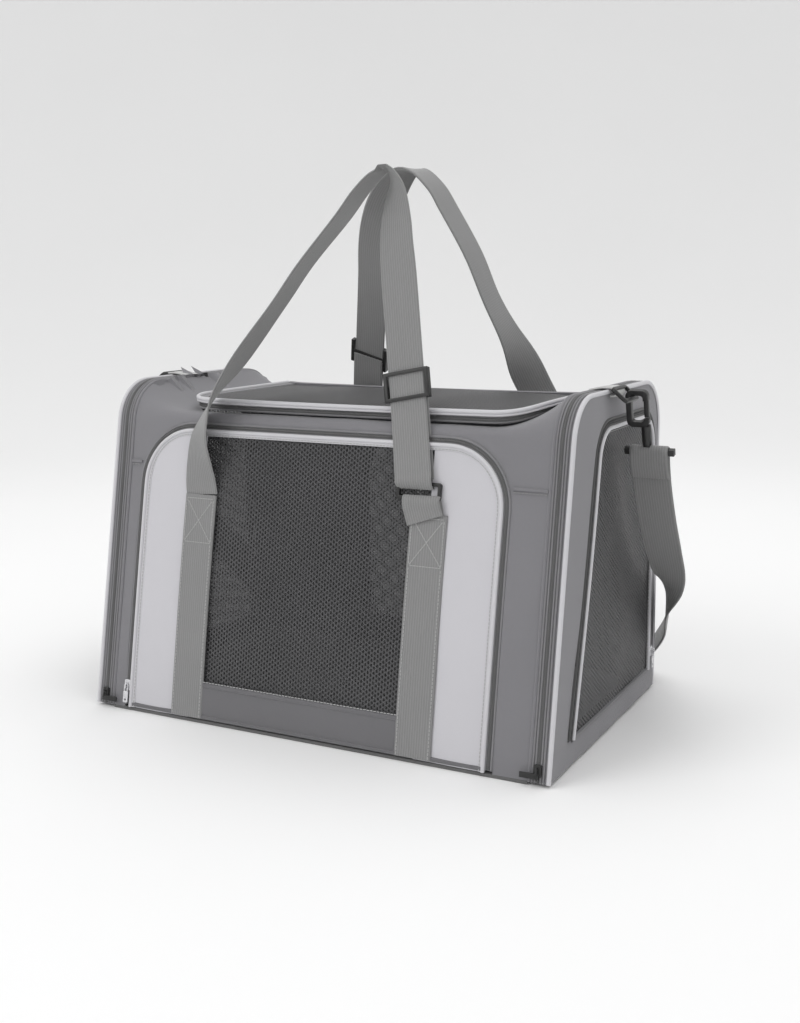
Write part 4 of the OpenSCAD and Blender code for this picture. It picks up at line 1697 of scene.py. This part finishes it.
@dataclass
class ShoulderStrap:
    """The clipped-on shoulder strap with its hooks, rings and sewn tabs."""

    width: float = 38 * MM
    thickness: float = 2.2 * MM
    half_route: tuple[tuple[float, float, float], ...] = (
        (282, 25, 271), (282, 34, 242), (283, 50, 205), (283, 72, 172), (282, 98, 138),
        (273, 127, 104), (265, 155, 72), (246, 174, 42), (223, 187, 18), (198, 193, 5),
        (170, 198, 1.3), (130, 203, 1.3), (85, 207, 1.3), (40, 209, 1.3),
    )
    half_widths: tuple[tuple[float, float, float], ...] = (
        (1, 0, 0), (1, 0, 0), (1, 0, 0), (1, 0, -0.05), (1, -0.15, -0.2), (0.25, -0.8, -0.6),
        (0.1, -0.75, -0.6), (0.1, -0.9, -0.45), (0.05, -0.95, -0.3), (0, -1, -0.1),
        (0, -1, 0), (0, -1, 0), (0, -1, 0), (0, -1, 0),
    )

    def rail(self) -> Rail:
        """The whole strap's line, from the right hook round behind the bag to the left hook."""
        other = lambda rows: [(-x, y, z) for x, y, z in reversed(rows)]
        return Rail.strap(
            [*self.half_route, *other(self.half_route)], [*self.half_widths, *other(self.half_widths)]
        )

    def build(self) -> None:
        """Makes the strap, its sewn ends, hooks and rings."""
        rail = self.rail()
        strap = sweep(rail, strap_section(self.width, self.thickness, -self.thickness / 2), pitch=6 * MM)
        piece = Part("shoulder_webbing", Finish.WEBBING, Slot.WEBBING, "carrier", ("shoulder_strap",))
        webbing = piece.make(strap)
        fittings = []
        for side in ("right", "left"):
            for part, bevel in (("hook", 0.8 * MM), ("gate", 0.6 * MM)):
                node = f"{side}_{part}"
                rides = "carrier" if part == "hook" else node
                made = Part(f"{node}_plastic", Finish.PLASTIC, Slot.PLASTIC, rides, (node,)).copy(bevel)
                fittings.append(made)
        fittings += self.ends()
        tuple(rail.points[0])
        [tuple(p) for p in rail.points]
        ring = lambda: cad_copy("right_d_ring", 1.1 * MM, 3)
        plastic = Part("right_ring_plastic", Finish.PLASTIC, Slot.PLASTIC, "carrier", ("right_d_ring",))
        both_ends(plastic, ring)
        held = ("right_ring_tab",)
        both_ends(Part("right_ring_tab_cloth", Finish.LIGHT_WEBBING, Slot.PIPING, "carrier", held), self.tab)

    def ends(self) -> list[bpy.types.Object]:
        """The folded strap ends round the hooks' bars, right and left.

        Returns:
            The right and the left piece.
        """
        made = []
        across, wrap = 282, 4.9
        for sign, side in ((1, "right"), (-1, "left")):
            centre = self.bar_centre()
            turns = np.radians(np.linspace(-35, 215, 9))
            ring = [(centre[0] + wrap * math.cos(a), centre[1] + wrap * math.sin(a)) for a in turns]
            flat = [(33.6, 248), (30.2, 257), *ring, (20.6, 263), (27.6, 249)]
            route = [(across, y, z) for y, z in flat]
            places = np.array([(sign * x, y, z) for x, y, z in spline(route, 4)]) * MM
            wide = np.array([sign, 0, 0])
            ups = np.cross(np.gradient(places, axis=0), wide) * -sign
            bm = sweep(Rail(places, ups), strap_section(self.width - MM, 1.9 * MM, -0.95 * MM), pitch=2 * MM)
            made.append(Part(f"{side}_strap_fold", Finish.WEBBING, Slot.WEBBING, "carrier").make(bm))
        return made

    @staticmethod
    def bar_centre() -> Flat:
        """The place (y, z) of the hooks' cross bar, in millimetres."""
        tilt, drop = math.radians(15), 59.0
        return 8 + drop * math.sin(tilt), 332 - drop * math.cos(tilt)

    def tab(self) -> Mesh:
        """The webbing tab that holds the right ring, folded round the ring's upper bar.

        Returns:
            The mesh of the tab.
        """
        low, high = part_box("right_ring_tab")
        middle = (high.z + low.z) / 2
        route = [
            (low.x - 3 * MM, 0, high.z - 3.4 * MM),
            (low.x + 6 * MM, 0, high.z - 1.6 * MM),
            (high.x - 8 * MM, 0, high.z - 0.9 * MM),
            (high.x + 1 * MM, 0, high.z - 1.2 * MM),
            (high.x + 4.5 * MM, 0, high.z - 4.5 * MM),
            (high.x + 3 * MM, 0, high.z - 8 * MM),
            (high.x - 1.5 * MM, 0, high.z - 8.5 * MM),
        ]
        places = spline(route, 5)
        ups = np.cross(np.gradient(places, axis=0), (0, -1, 0))
        return sweep(Rail(places, ups), strap_section(24 * MM, 1.9 * MM, -0.95 * MM), pitch=1.5 * MM)


@dataclass
class SleepingPad:
    """The loose plush pad in the cabin, filled out by a cloth simulation."""

    voxel: float = 6 * MM
    pressure: float = 4.0
    frames: int = 20
    cap: float = 5 * MM

    def start(self) -> Mesh:
        """The pad's plain shape, a little smaller than the space that its CAD solid holds."""
        bm = cad_copy("sleeping_pad", 3 * MM, 3)
        low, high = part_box("sleeping_pad")
        middle = (low + high) / 2
        bmesh.ops.translate(bm, vec=-middle, verts=bm.verts)
        bmesh.ops.scale(bm, vec=(0.985, 0.975, 0.8), verts=bm.verts)
        bmesh.ops.translate(bm, vec=middle - Vector((0, 0, 1.5 * MM)), verts=bm.verts)
        return bm

    def simulate(self, pad: bpy.types.Object) -> None:
        """Swells the pad from inside and applies the result, no point moving further than the cap."""
        remesh = pad.modifiers.new("remesh", "REMESH")
        remesh.mode, remesh.voxel_size = "VOXEL", self.voxel
        graph = bpy.context.evaluated_depsgraph_get()
        mesh = bpy.data.meshes.new_from_object(pad.evaluated_get(graph))
        pad.modifiers.clear()
        pad.data = mesh
        rest = np.array([v.co for v in mesh.vertices])
        cloth = pad.modifiers.new("cloth", "CLOTH")
        cloth.settings.use_pressure = True
        cloth.settings.uniform_pressure_force = self.pressure
        cloth.settings.quality = 4
        cloth.settings.effector_weights.gravity = 0
        cloth.point_cache.frame_start, cloth.point_cache.frame_end = 1, self.frames
        scene = bpy.context.scene
        for step in range(1, self.frames + 1):
            scene.frame_set(step)
        graph = bpy.context.evaluated_depsgraph_get()
        swollen = np.array([v.co for v in pad.evaluated_get(graph).data.vertices])
        pad.modifiers.clear()
        move = swollen - rest
        far = np.linalg.norm(move, axis=1)[:, None]
        move *= np.minimum(1, self.cap / np.maximum(far, 1e-9))
        low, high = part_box("sleeping_pad")
        placed = rest + move
        placed[:, 2] = np.maximum(placed[:, 2], low.z)
        mesh.vertices.foreach_set("co", placed.ravel())
        mesh.update()
        scene.frame_set(1)

    def build(self) -> None:
        """Makes the pad."""
        pad = new_object("sleeping_pad_plush", self.start(), Finish.PLUSH.material)
        self.simulate(pad)
        pad.data.shade_smooth()
        pad.data.materials.clear()
        pad.data.materials.append(Finish.PLUSH.material)
        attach(pad, "carrier")
        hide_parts("sleeping_pad")
        LOG.info("%s: %d faces, on carrier", pad.name, len(pad.data.polygons))


@dataclass
class Studio:
    """The pale floor, the soft lights and the camera."""

    place: tuple[float, float, float] = (0.6211, -1.1087, 0.4353)
    azimuth: float = 26.80
    pitch: float = 9.18
    roll: float = -0.35
    lens: float = 43.74
    shift: tuple[float, float] = (-0.0293, -0.0293)
    floor_radius: float = 5.0
    floor_wall: float = 3.0
    lights: tuple[tuple[str, tuple[float, float, float], float, float], ...] = (
        ("key", (-1.6, -2.2, 2.2), 26.0, 1.8),
        ("fill", (2.6, -1.6, 1.4), 7.0, 2.0),
        ("top", (0.2, 0.6, 2.6), 22.0, 2.2),
    )

    def build(self) -> None:
        """Makes the whole studio."""
        scene = bpy.context.scene
        scene.view_settings.view_transform = "Standard"
        self.camera(scene)
        self.floor()
        world = bpy.data.worlds.new("studio")
        world.use_nodes = True
        back = world.node_tree.nodes["Background"]
        back.inputs[0].default_value = (1, 1, 1, 1)
        back.inputs[1].default_value = 0.72
        scene.world = world
        for name, place, power, size in self.lights:
            data = bpy.data.lights.new(name, "AREA")
            data.energy, data.size = power, size
            lamp = bpy.data.objects.new(name, data)
            lamp.location = place
            lamp.rotation_euler = (Vector((0, 0, 0.2)) - Vector(place)).to_track_quat("-Z", "Y").to_euler()
            scene.collection.objects.link(lamp)

    def camera(self, scene: bpy.types.Scene) -> None:
        """The camera, at the same place as the one that the bag was first seen from."""
        data = bpy.data.cameras.new("camera")
        data.lens = self.lens
        data.sensor_width = 36.0
        data.sensor_fit = "AUTO"
        data.shift_x, data.shift_y = self.shift
        camera = bpy.data.objects.new("camera", data)
        turn = Matrix.Rotation(math.radians(self.azimuth), 4, "Z")
        tip = Matrix.Rotation(math.radians(90 - self.pitch), 4, "X")
        lean = Matrix.Rotation(math.radians(self.roll), 4, "Z")
        camera.matrix_world = Matrix.Translation(self.place) @ turn @ tip @ lean
        scene.collection.objects.link(camera)
        scene.camera = camera

    def floor(self) -> None:
        """A round floor that curves up far away, so that no horizon shows."""
        bm = bmesh.new()
        bend = self.floor_wall
        line = [(0.0, 0.0), (self.floor_radius - bend, 0.0)]
        line += [
            (self.floor_radius - bend + bend * math.sin(a), bend * (1 - math.cos(a)))
            for a in np.radians(np.arange(6, 91, 6))
        ]
        corners = [bm.verts.new((x, 0, z)) for x, z in line]
        edges = [bm.edges.new(pair) for pair in zip(corners, corners[1:])]
        bmesh.ops.spin(
            bm,
            geom=[*corners, *edges],
            cent=(0, 0, 0),
            axis=(0, 0, 1),
            angle=math.tau,
            steps=48,
            use_merge=True,
        )
        bmesh.ops.remove_doubles(bm, verts=bm.verts, dist=0.1 * MM)
        bmesh.ops.recalc_face_normals(bm, faces=bm.faces)
        shader = Shader("floor", {"Roughness": 0.9, "Specular IOR Level": 0.1})
        cloud = shader.noise(1.2, 1.0)
        shader.feed("Base Color", shader.mix(cloud, grey(0.9), grey(0.93)))
        new_object("floor", bm, shader.material)


def main() -> None:
    logging.basicConfig(level=logging.INFO, format="%(name)s %(message)s")
    body = Body()
    end = RightEnd()
    Studio().build()
    ShoulderStrap().build()
    body.build()
    FrontPanel(body).build()
    LID.build()
    end.build()
    Zips(body, end).build()
    Handles(body).build()
    SleepingPad().build()
    bpy.context.view_layer.update()


if __name__ == "__main__":
    main()
